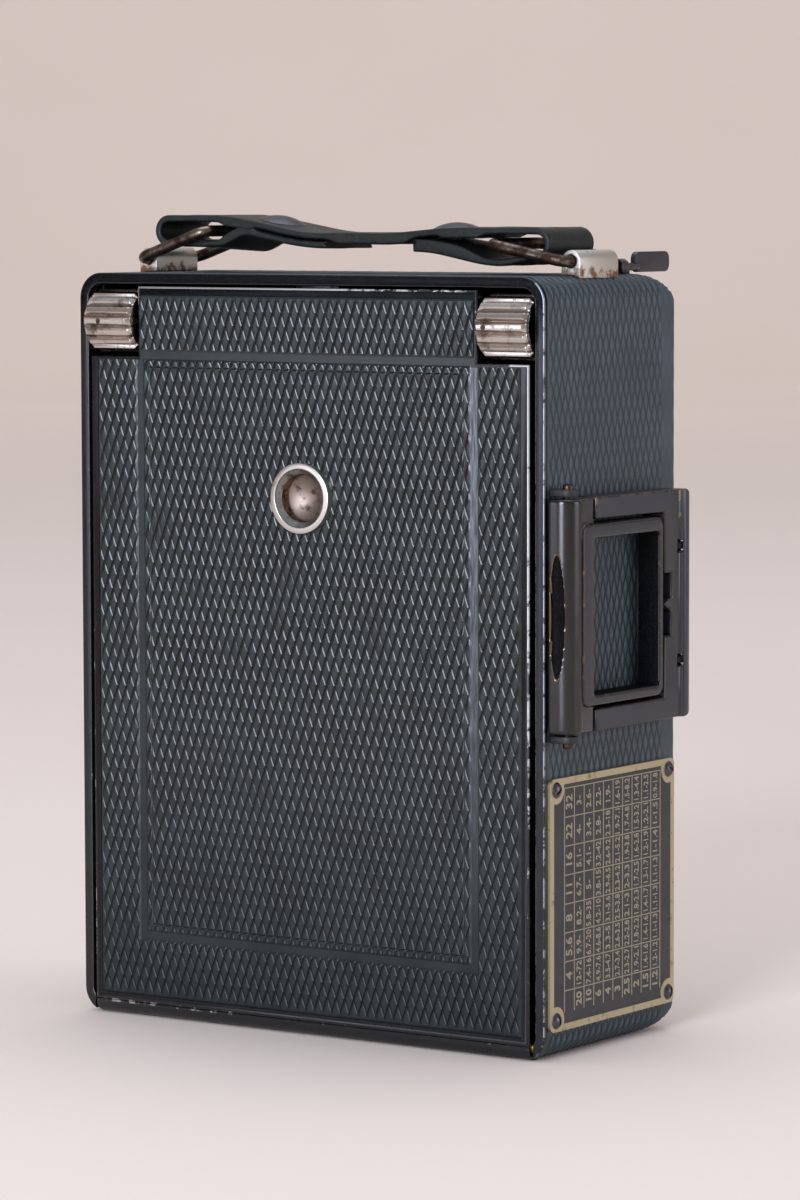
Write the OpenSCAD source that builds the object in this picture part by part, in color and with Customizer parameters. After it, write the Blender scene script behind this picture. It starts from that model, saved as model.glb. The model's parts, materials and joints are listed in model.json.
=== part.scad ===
// Folding-bed plate camera of the 6.5 x 9 cm class, closed, in millimetres.
// +X is the side that carries the finder and the table plate, -Y is the front bed, +Z is up.
// The origin is the centre of the bottom face.

/* [Body] */
// Width over the leather
body_w = 87.4; // [85:0.2:94]
// Depth from the front rim to the back
body_d = 38.3; // [38:0.1:44]
// Height over the leather
body_h = 118; // [116:0.5:128]
// Corner radius seen from the front
front_corner_r = 4; // [3:0.1:6]
// Radius of the top and bottom rear edges
rear_top_r = 7.5; // [4:0.1:8]
// Radius of the upright rear edges
rear_side_r = 1.5; // [0.8:0.1:2.2]
// Wall of the pressed casing
wall = 1; // [0.8:0.1:1.3]
// Thickness of the leather covering
leather_t = 0.7; // [0.5:0.05:0.9]
// Bare metal rim left in front of the leather
rim_bare = 0.9; // [0.5:0.1:1.5]

/* [Bed] */
// Gap between the bed and the casing at each side
bed_gap = 0.8; // [0.5:0.1:1]
// Gap between the bed and the casing at the top
bed_top_gap = 0.4; // [0.3:0.1:0.8]
// Set of the bed plate behind the rim
plate_set = 0.1; // [0:0.05:0.2]
// Thickness of the bed plate
plate_t = 1.1; // [0.9:0.05:1.2]
// Width of the enamelled lip round the bed leather
lip_w = 1.3; // [1:0.1:2]
// Height of the lip in front of the rim
lip_proud = 0.4; // [0.2:0.05:0.5]
// Height of the bed leather in front of the rim
bed_leather_proud = 0.6; // [0.55:0.05:0.8]
// Depth of the pressed frame line in the bed leather
press_depth = 0.2; // [0.1:0.05:0.3]
// Width of the pressed frame line
press_w = 2.2; // [1:0.1:3]
// Distance of the pressed line from the bed's sides
press_side = 8.9; // [6:0.1:12]
// Distance of the pressed line from the bed's ends
press_end = 9.9; // [6:0.1:14]
// Outer radius of the rolled hinge barrel
barrel_r = 1.7; // [1.5:0.05:1.8]
// Set of the hinge axis behind the rim
hinge_set = 1.3; // [1.2:0.05:1.6]
// Radius of the hinge pin
hinge_pin_r = 0.9; // [0.6:0.05:1.1]
// Gap round the barrel in the casing floor
barrel_gap = 0.3; // [0.2:0.05:0.6]

/* [Tripod bush] */
// Height of the bush on the bed
bush_z = 83.7; // [72:0.1:88]
// Outer radius of the bush
bush_r = 5.45; // [5.2:0.05:6]
// Radius of the threaded hole, 3/8 inch coarse
bush_bore_r = 3.75; // [3:0.05:4]
// Radius of the countersink at its mouth
bush_mouth_r = 4.7; // [4.3:0.05:4.9]
// Depth of the countersink
bush_mouth_depth = 0.8; // [0.4:0.1:1.2]
// Height of the bush in front of the bed leather
bush_proud = 1.1; // [0.5:0.1:1.6]
// Length of the bush behind the bed plate
bush_in = 3; // [2:0.1:3.2]
// Radius of the flange behind the bed plate
bush_flange_r = 8; // [7:0.1:10]
// Thickness of that flange
bush_flange_t = 1; // [0.6:0.1:1.5]

/* [Focusing] */
// Radius of the fluted knobs
knob_r = 5.05; // [4.6:0.05:5.2]
// Length of a knob
knob_len = 9.2; // [7:0.1:9.6]
// Gap between a knob's end and the casing
knob_end_gap = 0.4; // [0.3:0.05:0.6]
// Distance of the knob axis below the top of the camera
knob_drop = 7.55; // [7.4:0.05:9]
// Set of the knob axis behind the rim
knob_set = 2.75; // [2.7:0.05:3]
// Number of flutes round a knob
knob_flutes = 22; // [14:1:26]
// Radius of one flute
flute_r = 0.5; // [0.35:0.05:0.55]
// Radius of the hollow in a knob's ends
knob_cup_r = 3.7; // [3:0.1:4]
// Depth of that hollow
knob_cup_depth = 1.6; // [0.6:0.1:2.4]
// Radius of the pin through a knob
knob_pin_r = 0.45; // [0.3:0.05:0.6]
// Radius of the pinion shaft
shaft_r = 1; // [0.8:0.05:1.1]
// Gear module of rack and pinion
gear_module = 0.5; // [0.48:0.01:0.52]
// Teeth on a pinion
pinion_teeth = 8; // [8:1:8]
// Width of the racks and pinions
rack_w = 3; // [2:0.1:4]
// Distance of the racks from the middle
rack_x = 20.5; // [18.5:0.1:22]
// Upper part of the track that carries teeth
rack_len = 28; // [16:0.5:40]
// Travel of the track inside the closed camera
track_travel = 4; // [2:0.1:4]
// Half width of the sliding track
track_x = 29.7; // [27:0.1:30]
// Thickness of the track
track_t = 1.2; // [1:0.1:1.4]
// Width of each side of the track
track_side_w = 13.7; // [12:0.1:14]
// Height of the track's foot bar
track_foot = 12; // [8:0.5:16]
// Distance of the track above the hinge axis
track_low = 6.3; // [5:0.1:10]
// Width of a track guide
guide_w = 2.6; // [2.2:0.1:3]
// Depth of the groove in a guide
guide_groove = 1.1; // [0.8:0.1:1.4]
// Sliding clearance of the track
slide_gap = 0.2; // [0.15:0.01:0.25]
// Width of a shaft bearing
bearing_w = 2; // [1.5:0.1:3]
// Wall of a shaft bearing round the shaft
bearing_wall = 1.1; // [0.9:0.1:1.2]
// Distance of the bearings from the middle
bearing_x = 26; // [25.5:0.1:27]
// Width of the distance scale
scale_w = 5; // [4:0.1:6]
// Length of the distance scale
scale_l = 36; // [30:0.5:40]
// Thickness of the distance scale
scale_t = 0.5; // [0.4:0.05:0.8]

/* [Stays] */
// Distance of both stay pivots from the hinge axis
stay_arm = 18; // [16:0.1:18]
// Set of the bed pivot behind the hinge axis
stay_set = 1.9; // [1.6:0.1:2.2]
// Angle between the two pivots, seen from the hinge
stay_lead = 14; // [12:0.5:16]
// Opening angle of the bed
bed_open = 90; // [80:1:90]
// Gap between a stay's end and the bed plate
stay_plate_gap = 0.3; // [0.2:0.05:0.4]
// Thickness of a stay
stay_t = 0.9; // [0.7:0.05:1]
// Gap between a stay and the casing wall
stay_wall_gap = 1.5; // [1.3:0.1:1.8]
// Radius of the stay rivets and studs
stay_pin_r = 0.9; // [0.7:0.05:1]
// Radius of their heads
stay_head_r = 1.5; // [1.3:0.1:1.6]
// Thickness of their heads
stay_head_t = 0.4; // [0.3:0.05:0.5]

/* [Finder] */
// Height of the finder's lower edge
finder_z = 49.7; // [46:0.1:52]
// Height of the finder
finder_h = 35.3; // [32:0.1:38]
// Thickness of the folded leaves
finder_t = 4.1; // [3.6:0.1:4.6]
// Gap between the leaves and the side leather
finder_gap = 0.4; // [0.3:0.05:0.6]
// Set of the front leaf's nose behind the rim
finder_front_set = 0.65; // [0.4:0.05:2]
// Length of the front leaf's thick nose
finder_nose = 7.1; // [6:0.1:8]
// Set of the front leaf's frame behind the rim
finder_frame_set = 3.75; // [3:0.05:5]
// Length of the front leaf's frame
finder_frame_l = 23.2; // [21:0.1:24]
// Height of the front leaf's frame
finder_frame_h = 27.4; // [24:0.1:27.6]
// Set of the window behind the frame's front edge
window_front = 3.3; // [3.2:0.05:3.5]
// Rim of the frame behind the window
window_rear = 1.2; // [1:0.05:1.6]
// Rim of the frame below the window
window_low = 1.6; // [1.4:0.1:2]
// Rim of the frame above the window
window_top = 2.2; // [1.8:0.1:2.6]
// Height of the raised border round the window
window_border = 0.6; // [0.3:0.1:0.9]
// Gap between the front leaf's nose and the rear leaf's arms
nose_gap = 0.7; // [0.5:0.05:1]
// Gap between the front leaf's frame and the rear leaf's base bar
base_gap = 1.2; // [0.8:0.05:1.4]
// Gap between the front leaf's frame and each arm of the rear leaf
arm_gap = 0.6; // [0.5:0.05:1]
// Length of the rear leaf's base bar
finder_base_l = 7.75; // [7:0.05:8]
// Depth of the notch in the base bar
notch_depth = 2.1; // [1:0.1:2.4]
// Height of that notch
notch_h = 9.7; // [7:0.1:12]
// Half height of the sighting tooth's foot
tooth_half = 1.5; // [1:0.1:2]
// Corner radius of the leaves
finder_corner_r = 2.6; // [1.5:0.1:3]
// Radius of the finder's hinge pins
finder_pin_r = 0.8; // [0.6:0.05:0.9]
// Thickness of a finder hinge lug
finder_lug_t = 1.1; // [0.9:0.1:1.6]
// Length of the front pin outside each lug
finder_pin_end = 0.8; // [0.5:0.1:1]
// Gap beside the hinge lugs
finder_lug_gap = 0.3; // [0.2:0.05:0.5]
// Radius of the finger scallop in the nose
scallop_r = 31; // [24:1:40]
// Depth of the finger scallop
scallop_depth = 1.1; // [0.8:0.05:1.2]
// Wall of the rolled nose round its hollow
nose_wall = 0.75; // [0.7:0.05:0.9]
// Length of the nose at each end that holds the pin
nose_end_l = 7; // [5:0.5:10]

/* [Table plate] */
// Set of the plate behind the rim
table_set = 0.95; // [0.9:0.05:2]
// Length of the plate
table_l = 35.7; // [33:0.1:35.8]
// Height of the plate's lower edge
table_z = 4.4; // [4:0.1:8]
// Height of the plate
table_h = 38.4; // [34:0.1:40]
// Thickness of the plate
table_t = 0.5; // [0.3:0.05:0.8]
// Distance of a screw from the plate's edges
table_screw_in = 1.7; // [1.5:0.1:3]
// Radius of a screw's round head
table_screw_r = 1.25; // [0.8:0.05:1.4]
// Height of a screw's head
table_screw_h = 0.7; // [0.4:0.05:0.9]
// Width of the slot in a head
table_slot_w = 0.35; // [0.25:0.05:0.5]
// Depth of that slot
table_slot_d = 0.3; // [0.2:0.05:0.4]

/* [Handle] */
// Distance of the handle's middle line behind the front rim
handle_back = 18.6; // [17:0.1:20]
// Distance of the lugs from the middle
lug_x = 40; // [38:0.1:40.4]
// Width of a lug
lug_w = 3.4; // [3.2:0.1:4]
// Length of a lug
lug_l = 11; // [9:0.1:12]
// Height of the wire's axis above the leather
lug_axis = 2.1; // [2:0.1:2.6]
// Radius of the loop wire
wire_r = 0.9; // [0.7:0.05:1]
// Length of a loop from its lug to its cross bar
loop_l = 13.5; // [12.5:0.1:14]
// Half width of a loop at the middle of its wire
loop_half_w = 7.7; // [7.6:0.05:8.2]
// Bend of the wire at a loop's corners
loop_bend = 1.8; // [1.6:0.1:1.9]
// Rise of the left loop at rest
loop_left_rise = 19; // [17:0.5:20]
// Rise of the right loop at rest
loop_right_rise = 11; // [10:0.5:12]
// Width of the strap
strap_w = 12.8; // [11:0.1:13]
// Thickness of one layer of the strap
strap_t = 1.1; // [0.9:0.05:1.2]
// Room round a cross bar inside the strap
strap_room = 0.5; // [0.4:0.05:0.6]
// Height of the strap's middle above the top leather
strap_mid = 5.75; // [5.6:0.05:6.5]
// Left end of the strap
strap_left = 38; // [37.5:0.1:38.2]
// Right end of the strap
strap_right = 36.8; // [36:0.1:37.5]
// Gap between the layers at the rivets
strap_layer_gap = 0.3; // [0.2:0.05:0.5]
// Place of the left rivet
strap_rivet_left = 17.4; // [15:0.1:19]
// Place of the right rivet
strap_rivet_right = 15.4; // [14:0.1:17]
// End of the left tail
strap_tail_left = 4.7; // [4:0.1:10]
// End of the right tail
strap_tail_right = 12.3; // [10:0.1:12.4]
// Radius of a strap rivet's head
strap_rivet_r = 3.8; // [3.2:0.1:4.2]
// Radius of a strap rivet's clenched end
strap_clench_r = 1.6; // [1.2:0.1:2]
// Radius of a strap rivet's shank
strap_shank_r = 0.8; // [0.5:0.05:1]
// Height of a strap rivet's head
strap_rivet_h = 1; // [0.8:0.05:1.2]
// Height of a strap rivet's clenched end
strap_clench_h = 0.4; // [0.3:0.05:0.5]

/* [Back catch] */
// Distance of the catch from the middle
catch_x = 38.6; // [38.4:0.1:39]
// Height of the catch pin above the leather
catch_axis = 1; // [0.9:0.05:1.2]
// Radius of the catch pin
catch_pin_r = 0.6; // [0.4:0.05:0.7]
// Set of the tab behind the rim
catch_set = 33.35; // [31:0.05:34]
// Length of the tab
catch_l = 10; // [8:0.1:11]
// Height of the tab below the pin
catch_below = 0.85; // [0.7:0.05:0.95]
// Height of the tab above the pin
catch_above = 2.3; // [2.2:0.05:2.6]
// Thickness of the tab
catch_t = 0.9; // [0.6:0.05:1]
// Gap between the right loop and the end of the catch pin
catch_loop_gap = 0.35; // [0.3:0.05:0.8]
// Length of the bearing saddle
saddle_l = 2; // [1.5:0.1:3]

/* [Back] */
// Width of the picture opening
gate_w = 62; // [56:0.5:62]
// Height of the picture opening
gate_h = 88; // [80:0.5:88]
// Half width of the rail frame
rail_x = 37; // [36.8:0.1:37.4]
// Height of the rail frame's lower edge
rail_low = 8.6; // [8.4:0.1:9.5]
// Height of the rail frame
rail_h = 101; // [99:0.1:101]
// Thickness of the rail frame's plate
rail_t = 1.2; // [1:0.1:1.4]
// Wall of the side rails
rail_wall = 1; // [0.8:0.1:1.2]
// Reach of the rails' lips over the focusing frame
rail_lip = 1.4; // [1:0.1:1.8]
// Thickness of the rails' lips
rail_lip_t = 0.8; // [0.6:0.05:1]
// Clearance of the focusing frame in the rails
rail_gap = 0.2; // [0.15:0.01:0.3]
// Thickness of the focusing frame
frame_t = 2.4; // [2.2:0.1:2.8]
// Reach of the ears past the frame's sides
ear_reach = 1.1; // [1:0.05:1.2]
// Height of the ears
ear_h = 5.5; // [4:0.1:6]
// Top edge of the focusing frame below the camera's top
frame_top_drop = 1; // [0.8:0.1:2]
// Thickness of the ground glass
glass_t = 1.3; // [1:0.1:1.5]
// Seat of the glass round the picture
glass_seat = 0.8; // [0.5:0.1:0.9]
// Height of the hood's collar
collar_h = 1.1; // [0.8:0.1:1.5]
// Thickness of the hood's sheet
hood_t = 0.7; // [0.6:0.05:0.8]
// Thickness of the folded side flaps
flap_t = 0.6; // [0.5:0.05:0.7]
// Width of a side flap
flap_w = 24; // [18:0.5:28]
// Gap between folded hood sheets
hood_gap = 0.35; // [0.3:0.05:0.4]
// Radius of the hood's hinge barrel
hood_barrel_r = 0.8; // [0.7:0.05:0.9]
// Radius of the hood's hinge pin
hood_pin_r = 0.45; // [0.35:0.05:0.5]
// Clearance of a flap's hinge barrel between the sheets
flap_barrel_gap = 0.15; // [0.1:0.05:0.15]
// Radius of a flap's hinge pin
flap_pin_r = 0.25; // [0.2:0.05:0.25]
// Thickness of the hood's hinge lugs
hood_lug_t = 1.2; // [0.8:0.1:1.4]
// Distance of the hood's hinge below the rails' top
hood_drop = 2.9; // [2.4:0.1:3.4]
// Distance of the flap hinges inside the collar's sides
flap_in = 1.7; // [1.4:0.1:2]
// Distance of the flaps above the focusing frame's foot
flap_end_gap = 4.8; // [4.2:0.1:6]
// Distance of the flaps below the hood's hinge
flap_hood_gap = 2.6; // [2.5:0.1:3.2]

/* [Lens] */
// Folded length of the bellows
bellows_l = 10.4; // [9:0.1:10.6]
// Number of bellows folds, counted as sheets
bellows_sheets = 12; // [8:2:12]
// Depth of a fold
fold_depth = 3; // [2.6:0.1:3]
// Thickness of a bellows sheet
sheet_t = 0.5; // [0.35:0.05:0.55]
// Half width of the bellows at the lens
bellows_front_x = 20; // [19:0.5:21]
// Half height of the bellows at the lens
bellows_front_z = 26; // [24:0.5:27]
// Thickness of the rear bellows frame
bellows_frame_t = 1; // [0.8:0.1:1.2]
// Thickness of the lens standard
standard_t = 2.4; // [2:0.1:2.6]
// Inner half width of the lens standard
standard_in = 26; // [25.5:0.1:27]
// Width of an upright
standard_w = 4; // [3:0.1:5]
// Height of the lens standard's foot above the casing floor
standard_foot = 5; // [4:0.1:6]
// Height of the floor rails
rail_bar_h = 1.6; // [1.2:0.1:2]
// Half height of the lens board
board_half_h = 31; // [29:0.5:32]
// Half width of the lens board
board_half_w = 28; // [27.2:0.1:29]
// Thickness of the lens board
board_t = 1.6; // [1.2:0.1:1.8]
// Thickness of the shutter case
shutter_t = 9.4; // [9:0.1:9.8]
// Wall of the lens barrel round the front glass
barrel_wall = 2; // [1.6:0.1:2.2]
// Length of the lens barrel in front of the shutter
barrel_tube_l = 5.1; // [4.5:0.1:5.4]
// Width of the bezel's rim round the barrel
bezel_rim = 2.5; // [2:0.1:3]
// Length of the bezel
bezel_l = 2.4; // [2:0.1:2.6]
// Radius of the front glass
lens_r = 11; // [10:0.1:11.5]
// Radius of curvature of the front glass
lens_curve = 28; // [22:0.5:40]
// Edge thickness of the front glass
lens_edge = 1.2; // [0.8:0.1:1.4]
// Radius of the rear lens cell
rear_cell_r = 12; // [11:0.1:12.4]
// Length of the rear lens cell behind the board
rear_cell_l = 9; // [7:0.1:9.2]
// Gap between the speed ring and the levers
ring_lever_gap = 1.2; // [0.8:0.1:1.6]
// Wall of the boss that carries the speed ring
ring_boss_wall = 1.6; // [1.2:0.1:1.8]
// Width of the speed ring
ring_w = 3.4; // [2.8:0.1:3.8]
// Thickness of the speed ring
ring_t = 1.1; // [0.8:0.05:1.2]
// Gap in front of the shutter case
ring_gap = 0.2; // [0.15:0.05:0.3]
// Set of the lever pivots inside the shutter case's edge
lever_set = 2.4; // [2:0.1:2.6]
// Length of the levers
lever_l = 8; // [5:0.1:9]
// Half width of the levers
lever_half_w = 1.4; // [1.2:0.1:1.6]
// Thickness of the levers
lever_t = 0.8; // [0.6:0.05:0.9]
// Radius of the lever pins
lever_pin_r = 0.6; // [0.4:0.05:0.7]
// Place of the cocking lever round the lens axis
cocking_angle = 125; // [110:1:140]
// Place of the release lever round the lens axis
release_angle = 325; // [310:1:335]

/* [Hidden] */
$fn = 64;

// Running clearance of a pin in its hole
fit = 0.05;
// Overshoot of a cutting solid
over = 1;
// Smallest radius left where a wall takes up a corner
least_r = 0.3;

enamel = "#17171a";
hide = "#1c2422";
nickel = "#b9b6ae";
brass = "#b08d4a";
steel = "#8d9094";
cloth = "#121214";
glass = "#9fb3b8";

// Planes of the body
yf = -body_d / 2;
yb = body_d / 2;
xs = body_w / 2;
cas_back = yb - leather_t;
in_x = xs - leather_t - wall;
in_top = body_h - leather_t - wall;
in_floor = leather_t + wall;
in_back = cas_back - wall;

// Bed
hinge_y = yf + hinge_set;
hinge_z = barrel_r + least_r / 3;
bay_x = in_x - bed_gap / 2;
bed_x = in_x - bed_gap;
bed_top = in_top - bed_top_gap;
bed_low = hinge_z + barrel_r - lip_w;
plate_y = yf + plate_set;
plate_back = plate_y + plate_t;

// Focusing drive
knob_z = body_h - knob_drop;
knob_y = yf + knob_set;
knob_out = in_x - knob_end_gap;
knob_in = knob_out - knob_len;
bay_room = 0.5;
notch_x = knob_in - bay_room;
notch_z = knob_z - knob_r - bay_room;
pitch_r = gear_module * pinion_teeth / 2;
tooth_pitch = PI * gear_module;
pressure = 25;
backlash = 0.08;
rack_tip_ratio = 0.66;
pinion_tip_ratio = 0.7;
root_gap_ratio = 0.14;
rack_add = rack_tip_ratio * gear_module;
pinion_add = pinion_tip_ratio * gear_module;
root_gap = root_gap_ratio * gear_module;
pinion_tip = pitch_r + pinion_add;
pinion_root = pitch_r - rack_add - root_gap;
rack_line = knob_y + pitch_r;
rack_root = rack_line + pinion_add + root_gap;
rack_base = 0.83;
track_y = rack_root + rack_base;
track_top = in_top - bed_top_gap - track_travel;
track_z = hinge_z + track_low;
rack_low = track_top - rack_len;
guide_back = track_y + track_t + slide_gap + rack_base;
guide_top = knob_z - knob_r * 2;

// Stays
stay_p_angle = asin(stay_set / stay_arm);
stay_q_angle = stay_p_angle + stay_lead;
stay_tilt = (stay_p_angle + stay_q_angle) / 2;
stay_p = [hinge_y + stay_set, hinge_z + stay_arm * cos(stay_p_angle)];
stay_q = [hinge_y + stay_arm * sin(stay_q_angle), hinge_z + stay_arm * cos(stay_q_angle)];
stay_half_w = stay_p[0] - plate_back - stay_plate_gap;
stay_near = 2 * stay_arm * sin(stay_lead / 2);
stay_far = 2 * stay_arm * sin((stay_lead + bed_open) / 2);
stay_x1 = in_x - stay_wall_gap;
stay_x0 = stay_x1 - stay_t;
stay_slot_gap = 0.15;

// Finder
finder_x0 = xs + finder_gap;
finder_x1 = finder_x0 + finder_t;
finder_nose_r = finder_t / 2;
finder_axis_x = finder_x0 + finder_nose_r;
finder_front_y = yf + finder_front_set + finder_nose_r;
finder_nose_end = yf + finder_front_set + finder_nose;
finder_frame_y0 = yf + finder_frame_set;
finder_frame_y1 = finder_frame_y0 + finder_frame_l;
finder_frame_z = finder_z + (finder_h - finder_frame_h) / 2;
finder_arm_y = finder_nose_end + nose_gap;
finder_arm_h = finder_frame_z - finder_z - arm_gap;
finder_base_y = finder_frame_y1 + base_gap;
finder_rear_end = finder_base_y + finder_base_l;
finder_rear_y = finder_rear_end - finder_nose_r;
finder_top = finder_z + finder_h;
finder_rear_lugs = [finder_z + finder_h / 4, finder_top - finder_h / 4];

// Handle
handle_y = yf + handle_back;
lug_z = body_h + lug_axis;
bar_left = [-lug_x + loop_l * cos(loop_left_rise), lug_z + loop_l * sin(loop_left_rise)];
bar_right = [lug_x - loop_l * cos(loop_right_rise), lug_z + loop_l * sin(loop_right_rise)];
strap_off = wire_r + strap_room + strap_t / 2;
strap_step = 2.5;
strap_knee = 5;

// Back
rail_y = cas_back + rail_t;
frame_y = rail_y + rail_gap;
frame_back = frame_y + frame_t;
rail_top = rail_low + rail_h;
frame_x = rail_x - rail_wall - rail_gap;
frame_low = rail_low + rail_wall + rail_gap;
frame_top = body_h - frame_top_drop;
collar_x = rail_x - rail_wall - rail_lip - rail_gap * 2;
collar_back = frame_back + collar_h;
hood_axis_z = rail_top - hood_drop;
flap_y = collar_back + hood_gap;
hood_y = flap_y + flap_t + hood_gap;
hood_axis_y = hood_y + hood_t / 2;
flap_axis_y = flap_y + flap_t / 2;
flap_barrel_r = flap_t / 2 + hood_gap - flap_barrel_gap;
flap_axis_x = collar_x - flap_in;
flap_low = frame_low + flap_end_gap;
flap_top = hood_axis_z - flap_hood_gap;

// Lens
lens_z = body_h / 2;
bellows_back = in_back - bellows_frame_t;
board_back = bellows_back - bellows_l;
board_front = board_back - board_t;
shutter_front = board_front - shutter_t;
lens_front = shutter_front - barrel_tube_l;
ring_back = shutter_front - ring_gap;
ring_front = ring_back - ring_t;
barrel_tube_r = lens_r + barrel_wall;
bezel_r = barrel_tube_r + bezel_rim;
ring_boss_r = barrel_tube_r + ring_boss_wall;
ring_r = ring_boss_r + ring_w;
lever_pivot = ring_r + ring_lever_gap + lever_half_w;
shutter_r = lever_pivot + lever_set;
standard_low = in_floor + standard_foot;

// Solids along an axis, from flat outlines
module slab_x(x0, x1) {
  translate([x0, 0, 0]) rotate([90, 0, 90]) linear_extrude(x1 - x0) children();
}

module slab_y(y0, y1) {
  translate([0, y1, 0]) rotate([90, 0, 0]) linear_extrude(y1 - y0) children();
}

module slab_z(z0, z1) {
  translate([0, 0, z0]) linear_extrude(z1 - z0) children();
}

module rod_x(x0, x1, y, z, r) {
  translate([x0, y, z]) rotate([0, 90, 0]) cylinder(h = x1 - x0, r = r);
}

module rod_y(y0, y1, x, z, r) {
  translate([x, y1, z]) rotate([90, 0, 0]) cylinder(h = y1 - y0, r = r);
}

module rod_z(z0, z1, x, y, r) {
  translate([x, y, z0]) cylinder(h = z1 - z0, r = r);
}

module block(x0, x1, y0, y1, z0, z1) {
  translate([x0, y0, z0]) cube([x1 - x0, y1 - y0, z1 - z0]);
}

module both() {
  children();
  mirror([1, 0, 0]) children();
}

module rect(a0, a1, b0, b1) {
  translate([a0, b0]) square([a1 - a0, b1 - b0]);
}

module round_rect(a0, a1, b0, b1, r) {
  rect(a0 + r, a1 - r, b0, b1);
  rect(a0, a1, b0 + r, b1 - r);
  for (a = [a0 + r, a1 - r], b = [b0 + r, b1 - r])
    translate([a, b]) circle(r);
}

// Rectangle with only the corners at its high end of the first axis rounded
module half_round_rect(a0, a1, b0, b1, r) {
  rect(a0, a1 - r, b0, b1);
  rect(a0, a1, b0 + r, b1 - r);
  for (b = [b0 + r, b1 - r])
    translate([a1 - r, b]) circle(r);
}

module stadium(a0, a1, r) {
  rect(a0, a1, -r, r);
  for (a = [a0, a1])
    translate([a, 0]) circle(r);
}

// Low dome that stands on the plane z = 0
module dome(r, h) {
  ball = (r * r + h * h) / (2 * h);
  intersection() {
    translate([0, 0, h - ball]) sphere(ball);
    cylinder(h = 2 * h, r = r);
  }
}

function shrunk(r, inset) = max(r - inset, least_r);

// Body shape drawn in by an even inset, open towards the front plane given
module body_form(inset, y_front) {
  intersection() {
    slab_y(y_front, yb - inset)
      round_rect(-xs + inset, xs - inset, inset, body_h - inset, shrunk(front_corner_r, inset));
    slab_x(-xs - over, xs + over)
      half_round_rect(y_front - over, yb - inset, inset, body_h - inset, shrunk(rear_top_r, inset));
    slab_z(-over, body_h + over)
      rotate(90)
        half_round_rect(y_front - over, yb - inset, -xs + inset, xs - inset, shrunk(rear_side_r, inset));
  }
}

module hinge_bay() {
  block(-bay_x, bay_x, yf - over, hinge_y + barrel_r + barrel_gap, -over, hinge_z + barrel_r + barrel_gap);
}

module gate(y0, y1, grow) {
  half_w = gate_w / 2 + grow;
  half_h = gate_h / 2 + grow;
  block(-half_w, half_w, y0, y1, lens_z - half_h, lens_z + half_h);
}

// Body

module body_casing() {
  color(enamel) difference() {
    union() {
      body_form(leather_t, yf);
      intersection() {
        body_form(0, yf);
        block(-xs - over, xs + over, yf, yf + rim_bare, -over, body_h + over);
      }
    }
    body_form(leather_t + wall, yf - over);
    hinge_bay();
    gate(in_back - over, cas_back + over, 0);
    rod_x(-in_x - wall / 2, in_x + wall / 2, hinge_y, hinge_z, hinge_pin_r);
    both() rod_x(in_x - over, in_x + wall / 2, stay_q[0], stay_q[1], stay_pin_r);
  }
}

module body_leather() {
  color(hide) difference() {
    body_form(0, yf + rim_bare);
    body_form(leather_t, yf);
    hinge_bay();
    block(-rail_x - rail_gap, rail_x + rail_gap, in_back, yb + over,
      rail_low - rail_gap, rail_top + rail_gap);
  }
}

module hinge_pin() {
  color(brass) intersection() {
    rod_x(-in_x - wall / 2, in_x + wall / 2, hinge_y, hinge_z, hinge_pin_r);
    body_form(leather_t, yf);
  }
}

spring_half = 4;
spring_t = 0.4;
spring_nose_r = 0.7;
spring_set = 3.4;
spring_l = 12.6;
spring_y0 = yf + spring_set;
spring_y1 = spring_y0 + spring_l;

module bed_spring() {
  color(steel) intersection() {
    union() {
      block(-spring_half, spring_half, spring_y0, spring_y1, in_top - spring_t, in_top);
      rod_x(-spring_half, spring_half, spring_y0 + spring_nose_r, in_top - spring_t, spring_nose_r);
    }
    block(-spring_half, spring_half, spring_y0, spring_y1, in_top - 2 * wall, in_top);
  }
}

module handle_lugs() {
  lug_sink = 1.5;
  color(nickel) both() difference() {
    slab_y(handle_y - lug_l / 2, handle_y + lug_l / 2) translate([lug_x, lug_z]) {
      circle(lug_w / 2);
      rect(-lug_w / 2, lug_w / 2, -lug_axis - lug_sink, 0);
    }
    body_form(0, yf);
    rod_y(handle_y - lug_l, handle_y + lug_l, lug_x, lug_z, wire_r + fit);
  }
}

// Table plate on the side

table_y0 = yf + table_set;
table_y1 = table_y0 + table_l;
table_corner_r = 1;

module table_plate() {
  color(brass) slab_x(xs, xs + table_t)
    round_rect(table_y0, table_y1, table_z, table_z + table_h, table_corner_r);
}

// Angles at which the slots of the screws stand: low front, high front, low rear, high rear
table_slot_turns = [8, -50, -12, 60];

module table_screw(turn) {
  rotate([0, 90, 0]) difference() {
    dome(table_screw_r, table_screw_h);
    rotate(turn) translate([-table_screw_r - over, -table_slot_w / 2, table_screw_h - table_slot_d])
      cube([2 * (table_screw_r + over), table_slot_w, over]);
  }
}

module table_screws() {
  ys = [table_y0 + table_screw_in, table_y1 - table_screw_in];
  zs = [table_z + table_screw_in, table_z + table_h - table_screw_in];
  color(enamel) for (i = [0, 1], j = [0, 1])
    translate([xs + table_t, ys[i], zs[j]]) table_screw(table_slot_turns[2 * i + j]);
}

// Finder

finder_lug_wall = 0.7;
lug_end_r = finder_pin_r + finder_lug_wall;

module finder_lug(y, z0) {
  slab_z(z0, z0 + finder_lug_t) {
    translate([finder_axis_x, y]) circle(lug_end_r);
    rect(xs, finder_axis_x, y - lug_end_r, y + lug_end_r);
  }
}

module finder_lugs_front() {
  color(enamel) difference() {
    union() {
      finder_lug(finder_front_y, finder_top + finder_lug_gap);
      finder_lug(finder_front_y, finder_z - finder_lug_gap - finder_lug_t);
    }
    finder_pin_front();
  }
}

module finder_pin_front() {
  reach = finder_lug_gap + finder_lug_t + finder_pin_end;
  color(brass) rod_z(finder_z - reach, finder_top + reach, finder_axis_x, finder_front_y, finder_pin_r);
}

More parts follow.
